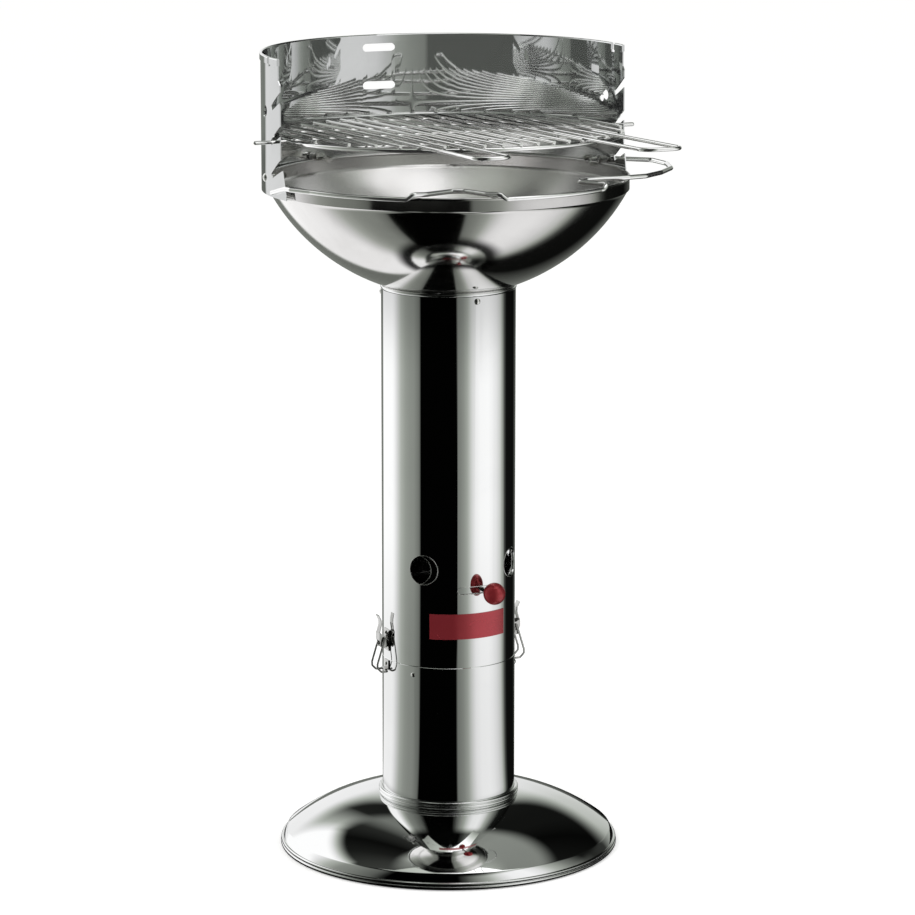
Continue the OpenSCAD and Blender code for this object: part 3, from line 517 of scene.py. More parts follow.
def outward_share(tree, centre_z):
    """How far a surface faces away from its dish's centre: below 0 on the inside."""
    spoke = vector_maths(tree, "SUBTRACT", object_place(tree), (0.0, 0.0, centre_z))
    facing = add_node(tree, "ShaderNodeNewGeometry").outputs["Normal"]
    return vector_maths(tree, "DOT_PRODUCT", spoke, facing)


print("rubbed edges gain", EDGE_HIGHLIGHT_GAIN)


# %% One recipe for every metal
def metal(name, colour, dirty_and_shaded, rough, smudged, ring_bump=0.0, density=900.0, upright=900.0,
          breakup=6.0, smudge_scale=9.0, smudge=0.6, recess_shade=0.25, smoke_reach=0.02,
          fine_bump=0.0, metal_share=1.0, inner=None):
    """colour is the clean metal, and the second colour is smudged metal and also the painted shade
    in recesses; rough and smudged are their roughness.
    inner is (height of a dish's centre, roughness inside, metal share inside)."""
    material, tree, steel = new_finish(name)
    steel.inputs["Metallic"].default_value = metal_share
    touch = place_group(tree, "smudges", Scale=smudge_scale, Amount=smudge)
    recess_shading = place_group(tree, "settled_smoke", Reach=smoke_reach, Amount=recess_shade)
    edges = place_group(tree, "rubbed_edges", Strength=4.0)
    rings = place_group(tree, "ring_brushing", Density=density, Upright_Density=upright,
                        Breakup=breakup)
    smudged_share = maths(tree, "MULTIPLY", touch.outputs["Mask"], SMUDGE_SHARE)
    dimmed = mix_colour(tree, smudged_share, (*colour, 1.0), (*dirty_and_shaded, 1.0))
    # Painted shade: where the occlusion mask finds recesses, the colour is darkened towards the
    # second colour
    dimmed = mix_colour(tree, recess_shading.outputs["Mask"], dimmed, (*dirty_and_shaded, 1.0))
    # Painted highlight: edges found by the bevel are lightened
    bright = tuple(min(1.0, c * EDGE_HIGHLIGHT_GAIN) for c in colour)
    shown = mix_colour(tree, edges.outputs["Mask"], dimmed, (*bright, 1.0))
    tree.links.new(shown, steel.inputs["Base Color"])
    haze = maths(tree, "ADD", touch.outputs["Mask"], recess_shading.outputs["Mask"], clamp=True)
    haze = maths(tree, "ADD", haze, maths(tree, "MULTIPLY", rings.outputs["Mask"], RING_HAZE),
                 clamp=True)
    roughness = fade(tree, haze, 0.0, 1.0, rough, smudged)
    if inner:
        centre_z, inner_rough, inner_metal = inner
        outward = outward_share(tree, centre_z)
        inside = fade(tree, outward, -INNER_EDGE, INNER_EDGE, 1.0, 0.0)
        roughness = add_node(tree, "ShaderNodeMix", {
            0: inside, 2: roughness, 3: inner_rough}).outputs[0]
        share = fade(tree, outward, -INNER_EDGE, INNER_EDGE, inner_metal, metal_share)
        tree.links.new(share, steel.inputs["Metallic"])
    tree.links.new(roughness, steel.inputs["Roughness"])
    height = maths(tree, "ADD", maths(tree, "MULTIPLY", rings.outputs["Height"], ring_bump),
                   maths(tree, "MULTIPLY", touch.outputs["Fine"], fine_bump))
    add_bump(tree, height, steel)
    return material


print("recipe ready")

# %% [markdown]
# The column and the foot are mirrors, the bowl is spun and a little satin, above all
# inside, and the windscreen lies between them. Wires are chromed, small fittings are
# tumbled bright, the latches are a greyer steel, and what the fire reaches is dark.
# Roughness below 0.03 keeps the studio's bands crisp, so it is only on the mirrors.

# %% The metals
CLEAN_MIRROR, DIRTY_AND_SHADED_MIRROR = (0.86, 0.865, 0.86), (0.66, 0.67, 0.66)
SCREEN_CENTRE_Z, BOWL_CENTRE_M = 0.94, 0.97145
mirror_steel = metal(
    "mirror_steel", CLEAN_MIRROR, DIRTY_AND_SHADED_MIRROR, 0.022, 0.09, ring_bump=0.00008, density=500.0,
    upright=35.0, breakup=420.0, smudge_scale=7.0, smudge=0.3)
foot_steel = metal(
    "foot_steel", CLEAN_MIRROR, DIRTY_AND_SHADED_MIRROR, 0.028, 0.09, ring_bump=0.00005, density=260.0,
    upright=200.0, breakup=3.0, smudge_scale=7.0, smudge=0.3)
screen_steel = metal(
    "screen_steel", (0.80, 0.81, 0.805), (0.56, 0.58, 0.57), 0.03, 0.12, ring_bump=0.0001,
    density=300.0, upright=420.0, breakup=3.0, smudge_scale=12.0, smudge=0.4, recess_shade=0.3,
    inner=(SCREEN_CENTRE_Z, 0.03, 0.975))
spun_steel = metal(
    "spun_steel", (0.81, 0.80, 0.79), (0.54, 0.52, 0.50), 0.075, 0.17, ring_bump=0.0006,
    density=1500.0, upright=1500.0, breakup=2.0, smudge_scale=8.0, smudge=0.5, recess_shade=0.35,
    smoke_reach=0.03, inner=(BOWL_CENTRE_M, 0.24, 0.98))
wire_chrome = metal(
    "wire_chrome", (0.93, 0.93, 0.92), (0.50, 0.50, 0.49), 0.05, 0.20, smudge_scale=45.0,
    smudge=0.3, recess_shade=0.4, smoke_reach=0.006, fine_bump=0.004, metal_share=0.97)
bright_fittings = metal(
    "bright_fittings", (0.78, 0.78, 0.76), (0.40, 0.39, 0.37), 0.06, 0.22, smudge_scale=70.0,
    smudge=0.5, recess_shade=0.8, smoke_reach=0.007, fine_bump=0.004)
latch_steel = metal(
    "latch_steel", (0.56, 0.56, 0.545), (0.34, 0.33, 0.32), 0.09, 0.24, smudge_scale=70.0,
    smudge=0.5, recess_shade=0.8, smoke_reach=0.007, fine_bump=0.002)
satin_steel = metal(
    "satin_steel", (0.62, 0.62, 0.60), (0.30, 0.29, 0.28), 0.24, 0.45, ring_bump=0.02,
    density=1500.0, upright=1500.0, breakup=2.0, smudge_scale=15.0, smudge=0.7, recess_shade=0.7)
fire_steel = metal(
    "fire_steel", (0.36, 0.34, 0.32), (0.07, 0.06, 0.055), 0.35, 0.6, smudge_scale=35.0,
    smudge=0.9, recess_shade=0.8, smoke_reach=0.01, fine_bump=0.2)
print("clearest metal", mirror_steel.name, "and darkest", fire_steel.name)

# %% [markdown]
# The knob is turned and lacquered in deep red, and the plate below it is a strip of
# the same red. The lacquer is part metallic: it takes the studio's bands dimly, as
# the photograph's does, and a clear coat alone would show them too sharp.


# %% Red finishes
# How much the painted highlight on edges lightens the red, and how strongly it shows
EDGE_LIGHT_GAIN, EDGE_LIGHT_LIFT, EDGE_LIGHT_SHARE = 1.5, 0.02, 0.5


def red_finish(name, deep, light, rough, worn_rough, grain_scale, grain_depth, coat, metal_share):
    """deep and light are the colours that the lacquer wanders between."""
    material, tree, paint = new_finish(name)
    touch = place_group(tree, "smudges", Scale=38.0, Amount=0.7)
    edges = place_group(tree, "rubbed_edges", Strength=3.0)
    cloud = noise(tree, object_place(tree), grain_scale, 3.0)
    body = mix_colour(tree, cloud, (*deep, 1.0), (*light, 1.0))
    # Painted highlight: edges are lightened towards a brighter red
    lighter = [min(1.0, c * EDGE_LIGHT_GAIN + EDGE_LIGHT_LIFT) for c in light]
    shown = mix_colour(tree, maths(tree, "MULTIPLY", edges.outputs["Mask"], EDGE_LIGHT_SHARE), body,
                       (*lighter, 1.0))
    tree.links.new(shown, paint.inputs["Base Color"])
    roughness = fade(tree, touch.outputs["Mask"], 0.0, 1.0, rough, worn_rough)
    tree.links.new(roughness, paint.inputs["Roughness"])
    add_bump(tree, maths(tree, "MULTIPLY", cloud, grain_depth), paint)
    paint.inputs["Metallic"].default_value = metal_share
    paint.inputs["Coat Weight"].default_value = coat
    paint.inputs["Coat Roughness"].default_value = 0.08
    return material


knob_red = red_finish(
    "knob_red", (0.31, 0.026, 0.032), (0.36, 0.030, 0.037), 0.34, 0.38,
    grain_scale=14.0, grain_depth=0.0006, coat=0.3, metal_share=0.6)
label_red = red_finish(
    "label_red", (0.36, 0.035, 0.045), (0.41, 0.045, 0.058), 0.22, 0.32,
    grain_scale=60.0, grain_depth=0.004, coat=0.3, metal_share=0.62)
print("reds", knob_red.name, label_red.name)

# %% [markdown]
# ## Who wears what
# The frame's pieces keep their meshes, and a finish is only put into their material
# slots. One table from finish to pieces is easier to check than an assignment for each
# piece, and the last line prints any piece that the table forgot.

# %% Finishes on the frame's nodes
LATCH_PARTS = ("bracket", "pin", "lever", "bail", "catch")
FINISHES = {
    foot_steel: ["base_dish"],
    mirror_steel: ["ash_tube", "upper_tube", "bowl_collar"],
    screen_steel: ["windscreen", "guide_sleeve", "regulator_sleeve"],
    spun_steel: ["bowl"],
    satin_steel: ["ash_floor", "regulator_rings", "windscreen_spacers", "collar_nuts"],
    wire_chrome: ["rim_rail", "rail_loop", "grid_ring", "grid_wires", "grid_cross_bars",
                  "grid_pegs", "grid_handles"],
    bright_fittings: ["guide_rivets", "latch_rivets", "collar_screws", "windscreen_bolts",
                      "wing_nuts", "regulator_rod"],
    latch_steel: [f"{side}_latch_{part}" for side in ("left", "right") for part in LATCH_PARTS],
    fire_steel: ["charcoal_ring", "charcoal_bars"],
    knob_red: ["regulator_knob"],
    label_red: ["label_plate"],
}
for material, names in FINISHES.items():
    for name in names:
        slots = nodes[name].data.materials
        if len(slots) == 0:
            slots.append(material)
        for i in range(len(slots)):
            slots[i] = material
left = sorted(set(nodes) - {n for names in FINISHES.values() for n in names})
print("nodes without a finish:", left)

# %% [markdown]
# ## Bent wires
# The rim rail, the hand loop, the grid's handles and the two latch bails are round
# wires bent over a former. Each is a path of way-points with rounded corners, swept
# with a round section. One Geometry Nodes tree does the sweep for all of them, so
# every wire has smooth sides and closed ends, and only the path and radius differ.


# %% Paths with rounded corners
NEARLY_STRAIGHT, LEG_SHARE = math.radians(88.0), 0.45


def round_the_axis(radius, degrees, height):
    """A point at a radius and height, at an angle from the grill's front."""
    turn = math.radians(degrees)
    return Vector((radius * math.sin(turn), -radius * math.cos(turn), height))


def rounded(path, bend_radius, steps=6):
    """The path with each corner replaced by an arc, as far as its legs have room."""
    points = [path[0]]
    for before, corner, after in zip(path, path[1:], path[2:]):
        back, ahead = (before - corner).normalized(), (after - corner).normalized()
        half = back.angle(ahead) / 2.0
        if half > NEARLY_STRAIGHT:
            points.append(corner)
            continue
        leg = min(bend_radius / math.tan(half), (before - corner).length * LEG_SHARE,
                  (after - corner).length * LEG_SHARE)
        centre = corner + (back + ahead).normalized() * leg / math.cos(half)
        first, last = corner + back * leg - centre, corner + ahead * leg - centre
        sweep = math.pi - 2.0 * half
        for i in range(steps + 1):
            share = i / steps
            spoke = first * math.sin(sweep * (1.0 - share)) + last * math.sin(sweep * share)
            points.append(centre + spoke / math.sin(sweep))
    points.append(path[-1])
    return points


right_angle = [Vector((0, 0, 0)), Vector((9, 0, 0)), Vector((9, 9, 0))]
print("a right angle becomes", len(rounded(right_angle, 3.0)), "points")


# %% A mesh of paths
def path_mesh(name, paths, closed=False):
    """Loose edges along one or more paths, from millimetres to metres."""
    places, edges = [], []
    for path in paths:
        edges += [(len(places) + i, len(places) + i + 1) for i in range(len(path) - 1)]
        if closed:
            edges.append((len(places) + len(path) - 1, len(places)))
        places += [p * MM for p in path]
    mesh = bpy.data.meshes.new(name)
    mesh.from_pydata(places, edges, [])
    return mesh


print("paths in metres, scale", MM)


# %% Tree: a swept wire
SMOOTH, REALIZE = "GeometryNodeSetShadeSmooth", "GeometryNodeRealizeInstances"


def chain(tree, line, last_kinds, start, end):
    """Links the nodes in line, then nodes of the last kinds, the finish and the end."""
    paint = add_node(tree, "GeometryNodeSetMaterial", {"Material": start.outputs["Finish"]})
    line = line + [tree.nodes.new(kind) for kind in last_kinds] + [paint, end]
    for first, second in zip(line, line[1:]):
        tree.links.new(first.outputs[0], second.inputs[0])
    print(tree.name, len(tree.nodes), "nodes")


def nodes_tree(name, inputs):
    tree = bpy.data.node_groups.new(name, "GeometryNodeTree")
    tree.interface.new_socket("Geometry", in_out="INPUT", socket_type="NodeSocketGeometry")
    for socket, kind in inputs.items():
        tree.interface.new_socket(socket, in_out="INPUT", socket_type=kind)
    tree.interface.new_socket("Geometry", in_out="OUTPUT", socket_type="NodeSocketGeometry")
    return tree, tree.nodes.new("NodeGroupInput"), tree.nodes.new("NodeGroupOutput")


swept_wire, start, end = nodes_tree("swept_wire", {
    "Wire Radius": "NodeSocketFloat", "Sides": "NodeSocketInt", "Finish": "NodeSocketMaterial"})
section = add_node(swept_wire, "GeometryNodeCurvePrimitiveCircle", {
    "Radius": start.outputs["Wire Radius"], "Resolution": start.outputs["Sides"]})
line = swept_wire.nodes.new("GeometryNodeMeshToCurve")
sweep = add_node(swept_wire, "GeometryNodeCurveToMesh", {
    "Fill Caps": True, "Profile Curve": section.outputs["Curve"]})
chain(swept_wire, [start, line, sweep], (SMOOTH, REALIZE), start, end)

# %% [markdown]
# A tree's result is kept as a plain mesh. A live modifier would draw the same, but a
# plain mesh can be measured, joined and exported as it is. Each piece then rides on
# the body that it moves with.


# %% From a tree to a piece
def grown(tree, source, inputs):
    """The plain mesh that the tree makes of the source mesh."""
    holder = add_object("holder", source)
    modifier = holder.modifiers.new("nodes", "NODES")
    modifier.node_group = tree
    for item in tree.interface.items_tree:
        if item.in_out == "INPUT" and item.name.replace(" ", "_") in inputs:
            modifier[item.identifier] = inputs[item.name.replace(" ", "_")]
    evaluated = holder.evaluated_get(bpy.context.evaluated_depsgraph_get())
    mesh = bpy.data.meshes.new_from_object(evaluated)
    bpy.data.objects.remove(holder)
    return mesh


def finish_piece(name, shells, body, stands_for, finish, corner):
    """The shells become one mesh with smooth sides and sharp corners, on a body."""
    bm = bmesh.new()
    for shell in shells:
        bm.from_mesh(shell)
    bmesh.ops.recalc_face_normals(bm, faces=bm.faces[:])
    mesh = bpy.data.meshes.new(name)
    bm.to_mesh(mesh)
    bm.free()
    mesh.materials.clear()
    mesh.materials.append(finish)
    for face in mesh.polygons:
        face.use_smooth = True
        face.material_index = 0
    mesh.set_sharp_from_angle(angle=math.radians(corner))
    piece = add_object(name, mesh)
    if stands_for:
        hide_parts(*stands_for)
    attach(piece, body)
    print(name, len(mesh.polygons), "faces on", body)


def bake(name, tree, sources, body, slot, stands_for=(), **inputs):
    """Runs the tree on each source mesh and keeps the results as one plain piece."""
    shells = [grown(tree, source, inputs) for source in sources]
    finish_piece(name, shells, body, stands_for, inputs["Finish"], corner=50.0)


# %% [markdown]
# ## Rim rail and hand loop
# A chromed wire guards the front of the bowl's rim. It is bent from one length: it
# runs down the screen's left side, follows the rim, and dips into the bowl at the
# front. A second wire makes the hand loop on the right. Way-points given as radius,
# angle and height keep both on the round rim, which a curve drawn by eye would miss.

# %% Rim rail
RAIL_Z, RAIL_OVER_Z, LOOP_OVER_Z = 865.791, 870.891, 870.491
RAIL_R, SCREEN_SIDE_R, RAIL_JOINT, TAIL_TOP = 231.4, 237.4, 30.0, -80
# The tail rises by a millimetre for each degree, and then the rail turns in to the rim
rail = [round_the_axis(SCREEN_SIDE_R, a, RAIL_Z - TAIL_TOP + a)
        for a in range(-89, TAIL_TOP + 1, 3)]
rail += [round_the_axis(SCREEN_SIDE_R, -77, RAIL_Z)]
rail += [round_the_axis(RAIL_R, a, RAIL_Z) for a in range(-69, -38, 3)]
# The dip into the bowl at the front, as steps from the rail's own radius
DIP = [(1.0, -35.5, RAIL_Z), (1.5, -33.5, RAIL_OVER_Z + 1), (-12, -30, RAIL_OVER_Z),
       (-42, -22, RAIL_OVER_Z), (-42, -17, RAIL_OVER_Z), (-12, -11, RAIL_OVER_Z),
       (1.5, -7.5, RAIL_OVER_Z + 1), (1.0, -5.5, RAIL_Z)]
rail += [round_the_axis(RAIL_R + out, a, z) for out, a, z in DIP]
rail += [round_the_axis(RAIL_R, -2.9 + 3 * i, RAIL_Z) for i in range(11)]
rail += [round_the_axis(RAIL_R, RAIL_JOINT - 0.1, RAIL_Z)]
bake("rim_rail_wire", swept_wire, [path_mesh("rail_path", [rounded(rail, 6.0)])], "column",
     "chromed_wire", ["rim_rail"], Wire_Radius=3.0 * MM, Sides=20, Finish=wire_chrome)

# %% Hand loop
LOOP = [(RAIL_R, RAIL_JOINT + 0.1, RAIL_Z), (RAIL_R + 1, 31.5, RAIL_Z),
        (RAIL_R + 1.5, 33.5, RAIL_OVER_Z + 1), (RAIL_R - 12, 34.5, RAIL_OVER_Z),
        (185.8, 35, RAIL_OVER_Z), (188.8, 41, RAIL_OVER_Z), (230.8, 52, RAIL_OVER_Z),
        (248.8, 57, LOOP_OVER_Z), (265.8, 65, LOOP_OVER_Z), (282.8, 74, LOOP_OVER_Z),
        (288.8, 83, LOOP_OVER_Z), (285.8, 91, LOOP_OVER_Z), (257.8, 97, LOOP_OVER_Z),
        (238.0, 103, LOOP_OVER_Z), (237.6, 107, LOOP_OVER_Z)]
loop = rounded([round_the_axis(*place) for place in LOOP], bend_radius=11.0, steps=10)
bake("hand_loop_wire", swept_wire, [path_mesh("loop_path", [loop])], "column",
     "chromed_wire", ["rail_loop"], Wire_Radius=2.97 * MM, Sides=20, Finish=wire_chrome)

# %% [markdown]
# ## Grid handles
# Two long U-shaped wires lift the hot grid out. They lean with the grid, which tips
# forward about the line of its pegs. Their way-points are written on a level grid, and
# one function leans them, so that the numbers stay plain.

# %% Grid handles
PEG_Y, PEG_Z, GRID_LEAN = 3.240, 917.986, math.radians(1.6)
HANDLE_Z, HANDLE_INNER_Y, HANDLE_REACH = 923.586, -110.89, -365.0
HANDLE_LEGS = [(-118.3, -72.9), (95.6, 147.55)]


def leaning(x, y, z):
    """A place on the level grid, moved to where the leaning grid has it."""
    dy, dz = y - PEG_Y, z - PEG_Z
    return Vector((x, PEG_Y + dy * math.cos(GRID_LEAN) + dz * math.sin(GRID_LEAN),
                   PEG_Z - dy * math.sin(GRID_LEAN) + dz * math.cos(GRID_LEAN)))


handles = []
for a, b in HANDLE_LEGS:
    corners = [leaning(a, HANDLE_INNER_Y, HANDLE_Z), leaning(a, HANDLE_REACH, HANDLE_Z),
               leaning(b, HANDLE_REACH, HANDLE_Z), leaning(b, HANDLE_INNER_Y, HANDLE_Z)]
    handles.append(rounded(corners, bend_radius=17.0, steps=12))
bake("grid_handle_wires", swept_wire, [path_mesh("handle_paths", handles)], "cooking_grid",
     "chromed_wire", ["grid_handles"], Wire_Radius=2.49 * MM, Sides=20, Finish=wire_chrome)

# %% [markdown]
# ## Latch bails
# The bail is the wire hoop that a latch's lever pulls tight over its catch. It is a
# bend with two equal halves, so one half is written and the other mirrors it.

# %% Latch bails
# Half of a bail, out from the axis, across and up
BAIL = [(91.8, 5.2, 279.0), (91.8, 9.3, 279.0), (102.0, 9.3, 246.0), (102.0, 9.3, 240.9),
        (96.5, 9.3, 235.4), (88.2, 9.3, 235.4)]
for side, name in ((-1.0, "left"), (1.0, "right")):
    half = [Vector((side * x, y, z)) for x, y, z in BAIL]
    bail_path = rounded(half + [Vector((p.x, -p.y, p.z)) for p in reversed(half)], 2.2)
    bake(f"{name}_bail_wire", swept_wire, [path_mesh(f"{name}_bail_path", [bail_path])],
         f"{name}_bail", "bright_fittings", [f"{name}_latch_bail"], Wire_Radius=1.29 * MM,
         Sides=16, Finish=latch_steel)

# %% [markdown]
# ## Punched edges
# The air holes and the lever's slot are punched, which turns up a fine burr. It is
# polished round, and it catches a thin line of light even where the steel shows
# black. A bevel on the hole could show it, but the fixed solid keeps its mesh, so the
# burr is a very thin wire on the hole's outline. The inner sleeve has the same edges.

# %% Burrs round the air holes and the slot
COLUMN_R, SLEEVE_R, HOLE_R, HOLE_Z = 85.0, 83.1, 19.0, 376.0
HOLE_TURNS, SLEEVE_SHIFT, HOLE_STEPS = (45, 135, 225, 315), -6.5, 64
SLOT_Z, SLOT_TURN, SLOT_LENGTH, SLOT_H = 350.0, 1.25, 48.36, 9.4


def on_the_tube(radius, turn, outline):
    """An outline of flat places (across, up), laid on a tube at a turn from its front."""
    return [round_the_axis(radius, turn + math.degrees(math.asin(across / radius)), up)
            for across, up in outline]


ring_turns = [2.0 * math.pi * i / HOLE_STEPS for i in range(HOLE_STEPS)]
hole_outline = [(HOLE_R * math.cos(t), HOLE_Z + HOLE_R * math.sin(t)) for t in ring_turns]
half_straight, half_high = (SLOT_LENGTH - SLOT_H) / 2.0, SLOT_H / 2.0
half_outline = [(half_straight + half_high * math.cos(t), SLOT_Z + half_high * math.sin(t))
                for t in [math.pi * (i / 16 - 0.5) for i in range(17)]]
# The straight side has points of its own, so the burr stays on the curved sheet
half_outline += [(half_straight * (1.0 - i / 8), SLOT_Z + half_high) for i in range(1, 16)]
slot_outline = half_outline + [(-across, 2.0 * SLOT_Z - up) for across, up in half_outline]
edges_out = [on_the_tube(COLUMN_R, a, hole_outline) for a in HOLE_TURNS]
edges_out.append(on_the_tube(COLUMN_R, SLOT_TURN, slot_outline))
edges_in = [on_the_tube(SLEEVE_R, a + SLEEVE_SHIFT, hole_outline) for a in HOLE_TURNS]
bake("punched_edges", swept_wire, [path_mesh("hole_paths", edges_out, closed=True)], "column",
     "polished_steel", Wire_Radius=0.42 * MM, Sides=8, Finish=bright_fittings)
bake("sleeve_hole_edges", swept_wire, [path_mesh("sleeve_paths", edges_in, closed=True)],
     "regulator", "satin_steel", Wire_Radius=0.26 * MM, Sides=8, Finish=bright_fittings)

# %% [markdown]
# ## Spun dishes
# The foot and the fire bowl are discs of sheet, spun over a former while they turn.
# Polished steel shows every flat in a curve, so both are turned again here from fine
# profiles. A Screw modifier could turn a profile too, but one tree serves any number
# of shells. It lays a grid out, reads a profile point for each row and wraps the rows
# round the axis.

# %% Tree: a profile turned round the axis
spun_sheet, start, end = nodes_tree("spun_sheet", {
    "Points": "NodeSocketInt", "Turns": "NodeSocketInt", "Finish": "NodeSocketMaterial"})


def step(operation, first, second=0.0):
    return maths(spun_sheet, operation, first, second)


columns = step("ADD", start.outputs["Turns"], 1.0)
sheet_grid = add_node(spun_sheet, "GeometryNodeMeshGrid", {
    "Vertices X": start.outputs["Points"], "Vertices Y": columns})
number = spun_sheet.nodes.new("GeometryNodeInputIndex").outputs[0]
row = step("FLOOR", step("DIVIDE", step("ADD", number, 0.5), columns))
around = step("SUBTRACT", number, step("MULTIPLY", row, columns))
turned = step("DIVIDE", step("MULTIPLY", around, 2.0 * math.pi), start.outputs["Turns"])
profile = add_node(spun_sheet, "GeometryNodeSampleIndex", {
    "Geometry": start.outputs["Geometry"], "Index": row}, data_type="FLOAT_VECTOR")
position = spun_sheet.nodes.new("GeometryNodeInputPosition").outputs[0]
spun_sheet.links.new(position, profile.inputs["Value"])
split = xyz_of(spun_sheet, profile.outputs[0])
wrapped = add_node(spun_sheet, "ShaderNodeCombineXYZ", {
    "X": step("MULTIPLY", split["X"], step("COSINE", turned)),
    "Y": step("MULTIPLY", split["X"], step("SINE", turned)), "Z": split["Z"]})
moved = add_node(spun_sheet, "GeometryNodeSetPosition", {"Position": wrapped.outputs[0]})
closed = add_node(spun_sheet, "GeometryNodeMergeByDistance", {"Distance": 0.002 * MM})
chain(spun_sheet, [sheet_grid, moved, closed], (SMOOTH, REALIZE), start, end)

# %% Profiles and shells
SPIN_STEPS = 240


def arc_points(centre, radius, first, last, steps):
    """Points along an arc in the profile's plane, by angles in degrees."""
    turns = [math.radians(first + (last - first) * i / steps) for i in range(steps + 1)]
    return [(centre[0] + radius * math.cos(a), centre[1] + radius * math.sin(a)) for a in turns]


def circle_points(r, z, radius, steps=20, lowest=-1.0):
    ring = arc_points((r, z), radius, 0.0, 360.0, steps)[:-1]
    return [(x, max(y, lowest)) for x, y in ring]


def spin(name, profiles, body, stands_for, finish):
    """Each closed profile, turned by itself, is one shell of the piece."""
    shells = []
    for points in profiles:
        mesh = bpy.data.meshes.new("profile")
        mesh.from_pydata([(r * MM, 0.0, z * MM) for r, z in points + points[:1]], [], [])
        shells.append(grown(spun_sheet, mesh, {
            "Points": len(points) + 1, "Turns": SPIN_STEPS, "Finish": finish}))
    finish_piece(name, shells, body, stands_for, finish, corner=30.0)


print("a bead has", len(circle_points(10.0, 0.0, 2.0)), "points")

# %% [markdown]
# ## The foot
# The foot is a dish with a trumpet's curve. Its edge is rolled into a bead on the
# floor, and a short socket with two beads and a ledge inside holds the column. Each
# closed profile is one shell, as the real beads are rolled on, not cast in.

# %% The foot
FOOT_R, BEAD_R, BEAD_Z, DISH_WALL, UPPER_BEAD_UP, UPPER_BEAD_IN = 217.0, 2.5, 2.1, 2.0, 1.7, 0.6
DISH_ARC, DISH_CENTRE, LIP_R = 230.0, (70.0, -164.75), 209.0
NECK_IN, NECK_OUT, NECK_TOP, NECK_BEAD_R, NECK_BEAD_GAP = 85.3, 87.0, 74.62, 2.3, 4.3
LEDGE_IN, LEDGE_Z, LEDGE_WALL, NECK_OVERLAP = 72.0, 60.62, 2.0, 0.8

neck_turn = math.degrees(math.acos((NECK_IN + NECK_OVERLAP - DISH_CENTRE[0]) / DISH_ARC))
lip_turn = math.degrees(math.acos((LIP_R - DISH_CENTRE[0]) / DISH_ARC))
skin = arc_points(DISH_CENTRE, DISH_ARC, neck_turn, lip_turn, 60)
back = arc_points(DISH_CENTRE, DISH_ARC - DISH_WALL, lip_turn, neck_turn, 30)
upper_bead_z = BEAD_Z + UPPER_BEAD_UP * BEAD_R
foot_edge = [(FOOT_R - BEAD_R, upper_bead_z), (FOOT_R - BEAD_R - DISH_WALL, BEAD_Z + BEAD_R)]
foot_profiles = [
    skin + foot_edge + back,
    circle_points(FOOT_R - BEAD_R, BEAD_Z, BEAD_R, lowest=0.0),
    circle_points(FOOT_R - BEAD_R - UPPER_BEAD_IN, upper_bead_z, BEAD_R),
    [(LEDGE_IN, LEDGE_Z - LEDGE_WALL), (NECK_OUT, LEDGE_Z - LEDGE_WALL), (NECK_OUT, NECK_TOP),
     (NECK_IN, NECK_TOP), (NECK_IN, LEDGE_Z), (LEDGE_IN, LEDGE_Z)]]
for down in (0.0, NECK_BEAD_GAP):
    foot_profiles.append(circle_points(
        NECK_IN + NECK_BEAD_R, NECK_TOP - NECK_BEAD_R - down, NECK_BEAD_R))
spin("spun_foot", foot_profiles, "column", ["base_dish"], foot_steel)

# %% [markdown]
# ## The fire bowl
# The bowl is the cap of a ball with an upright band and a rolled rim. A hole in its
# middle lets the ash fall into the column. Outside and inside are arcs about one
# centre, so the wall keeps its thickness all the way.

# %% The fire bowl
BOWL_RHO, BOWL_CENTRE_Z, BOWL_HOLE_R, BOWL_WALL = 255.96, 971.45, 72.0, 1.5
BAND_R, BAND_LOW, BAND_STEP, BAND_LOW_IN = 226.8, 850.691, 2.2, 0.3
RIM_Z, RIM_BEAD_R, RIM_BEAD_IN, RIM_BEAD_DOWN = 866.191, 1.8, 0.6, 0.4


def bowl_arc(rho, from_r, to_r, steps):
    """The part of the ball's outline between two distances from the axis."""
    first, last = (-math.degrees(math.acos(r / rho)) for r in (from_r, to_r))
    return arc_points((0.0, BOWL_CENTRE_Z), rho, first, last, steps)


band_in = BAND_R - BOWL_WALL
outside = bowl_arc(BOWL_RHO, BOWL_HOLE_R, BAND_R - BAND_STEP, 80)
inside = bowl_arc(BOWL_RHO - BOWL_WALL, band_in - BAND_STEP, BOWL_HOLE_R, 60)
band = [(BAND_R, BAND_LOW), (BAND_R, RIM_Z), (band_in, RIM_Z), (band_in, BAND_LOW + BAND_LOW_IN)]
bowl_profiles = [outside + band + inside,
                 circle_points(BAND_R - RIM_BEAD_IN, RIM_Z - RIM_BEAD_DOWN, RIM_BEAD_R)]
spin("spun_bowl", bowl_profiles, "column", ["bowl"], spun_steel)

# %% [markdown]
# ## Weld nuggets
# The grid's wires are pressed into its ring and cross bars under current, and each
# joint squeezes out a small flat nugget. They are the same little drop again and
# again, so one tree sets a squashed ball on every crossing and varies its size.

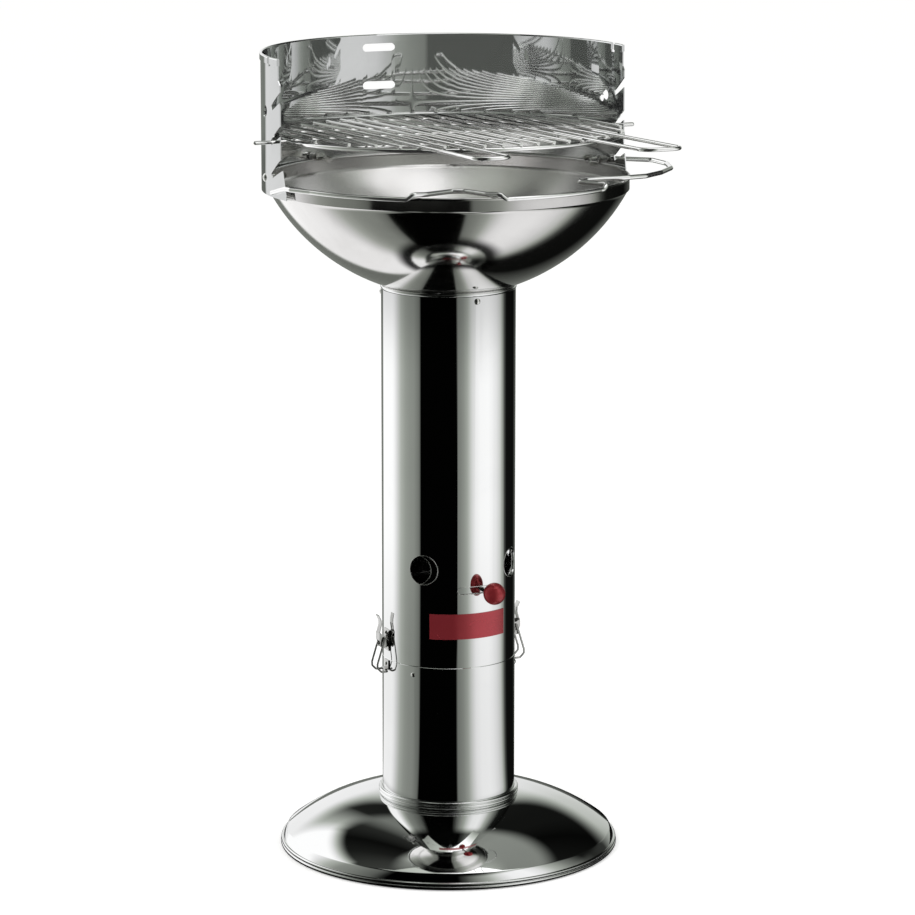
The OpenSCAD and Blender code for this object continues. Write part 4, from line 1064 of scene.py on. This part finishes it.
# %% Tree: a drop on every point
drops, start, end = nodes_tree("weld_drops", {
    "Width": "NodeSocketFloat", "Height": "NodeSocketFloat", "Seed": "NodeSocketInt",
    "Finish": "NodeSocketMaterial"})
ball = add_node(drops, "GeometryNodeMeshUVSphere", {"Segments": 12, "Rings": 7, "Radius": 1.0})
SMALLEST, LARGEST = 0.8, 1.2
spread = add_node(drops, "FunctionNodeRandomValue", {
    2: SMALLEST, 3: LARGEST, "Seed": start.outputs["Seed"]})
shape = add_node(drops, "ShaderNodeCombineXYZ", {
    "X": start.outputs["Width"], "Y": start.outputs["Width"], "Z": start.outputs["Height"]})
sized = add_node(drops, "ShaderNodeVectorMath", {
    0: shape.outputs[0], "Scale": spread.outputs[1]}, operation="SCALE")
placed = add_node(drops, "GeometryNodeInstanceOnPoints", {
    "Instance": ball.outputs["Mesh"], "Scale": sized.outputs[0]})
chain(drops, [start, placed], (REALIZE, SMOOTH), start, end)

# %% [markdown]
# The places follow from the grid itself. Every wire crosses the ring twice and each
# cross bar that it is long enough to reach, and the handles' legs are welded to the
# ring and the front bar. Reckoned places stay right where a list would need care.

# %% Places of the nuggets on the grid
GRID_PITCH, GRID_LAST, GRID_R, RING_CENTRE_Y, CROSSING_Z = 22.7, 9, 213.0, -10.0, 921.036
CROSS_Y, RING_ROOM = [-122.89, 3.24, 102.89], 8
seats = []
for i in range(-GRID_LAST, GRID_LAST + 1):
    x = GRID_PITCH * i
    reach = math.sqrt(GRID_R ** 2 - x ** 2)
    seats += [leaning(x, RING_CENTRE_Y + side * reach, CROSSING_Z) for side in (-1, 1)]
    seats += [leaning(x, y, CROSSING_Z) for y in CROSS_Y
              if math.hypot(x, y - RING_CENTRE_Y) < GRID_R - RING_ROOM]
for x in [leg for legs in HANDLE_LEGS for leg in legs]:
    seats.append(leaning(x, RING_CENTRE_Y - math.sqrt(GRID_R ** 2 - x ** 2), CROSSING_Z))
    seats.append(leaning(x, CROSS_Y[0], CROSSING_Z))
seat_mesh = bpy.data.meshes.new("nugget_seats")
seat_mesh.from_pydata([p * MM for p in seats], [], [])
bake("grid_weld_nuggets", drops, [seat_mesh], "cooking_grid", "chromed_wire",
     Width=2.7 * MM, Height=1.0 * MM, Seed=7, Finish=wire_chrome)
print("nuggets", len(seats))
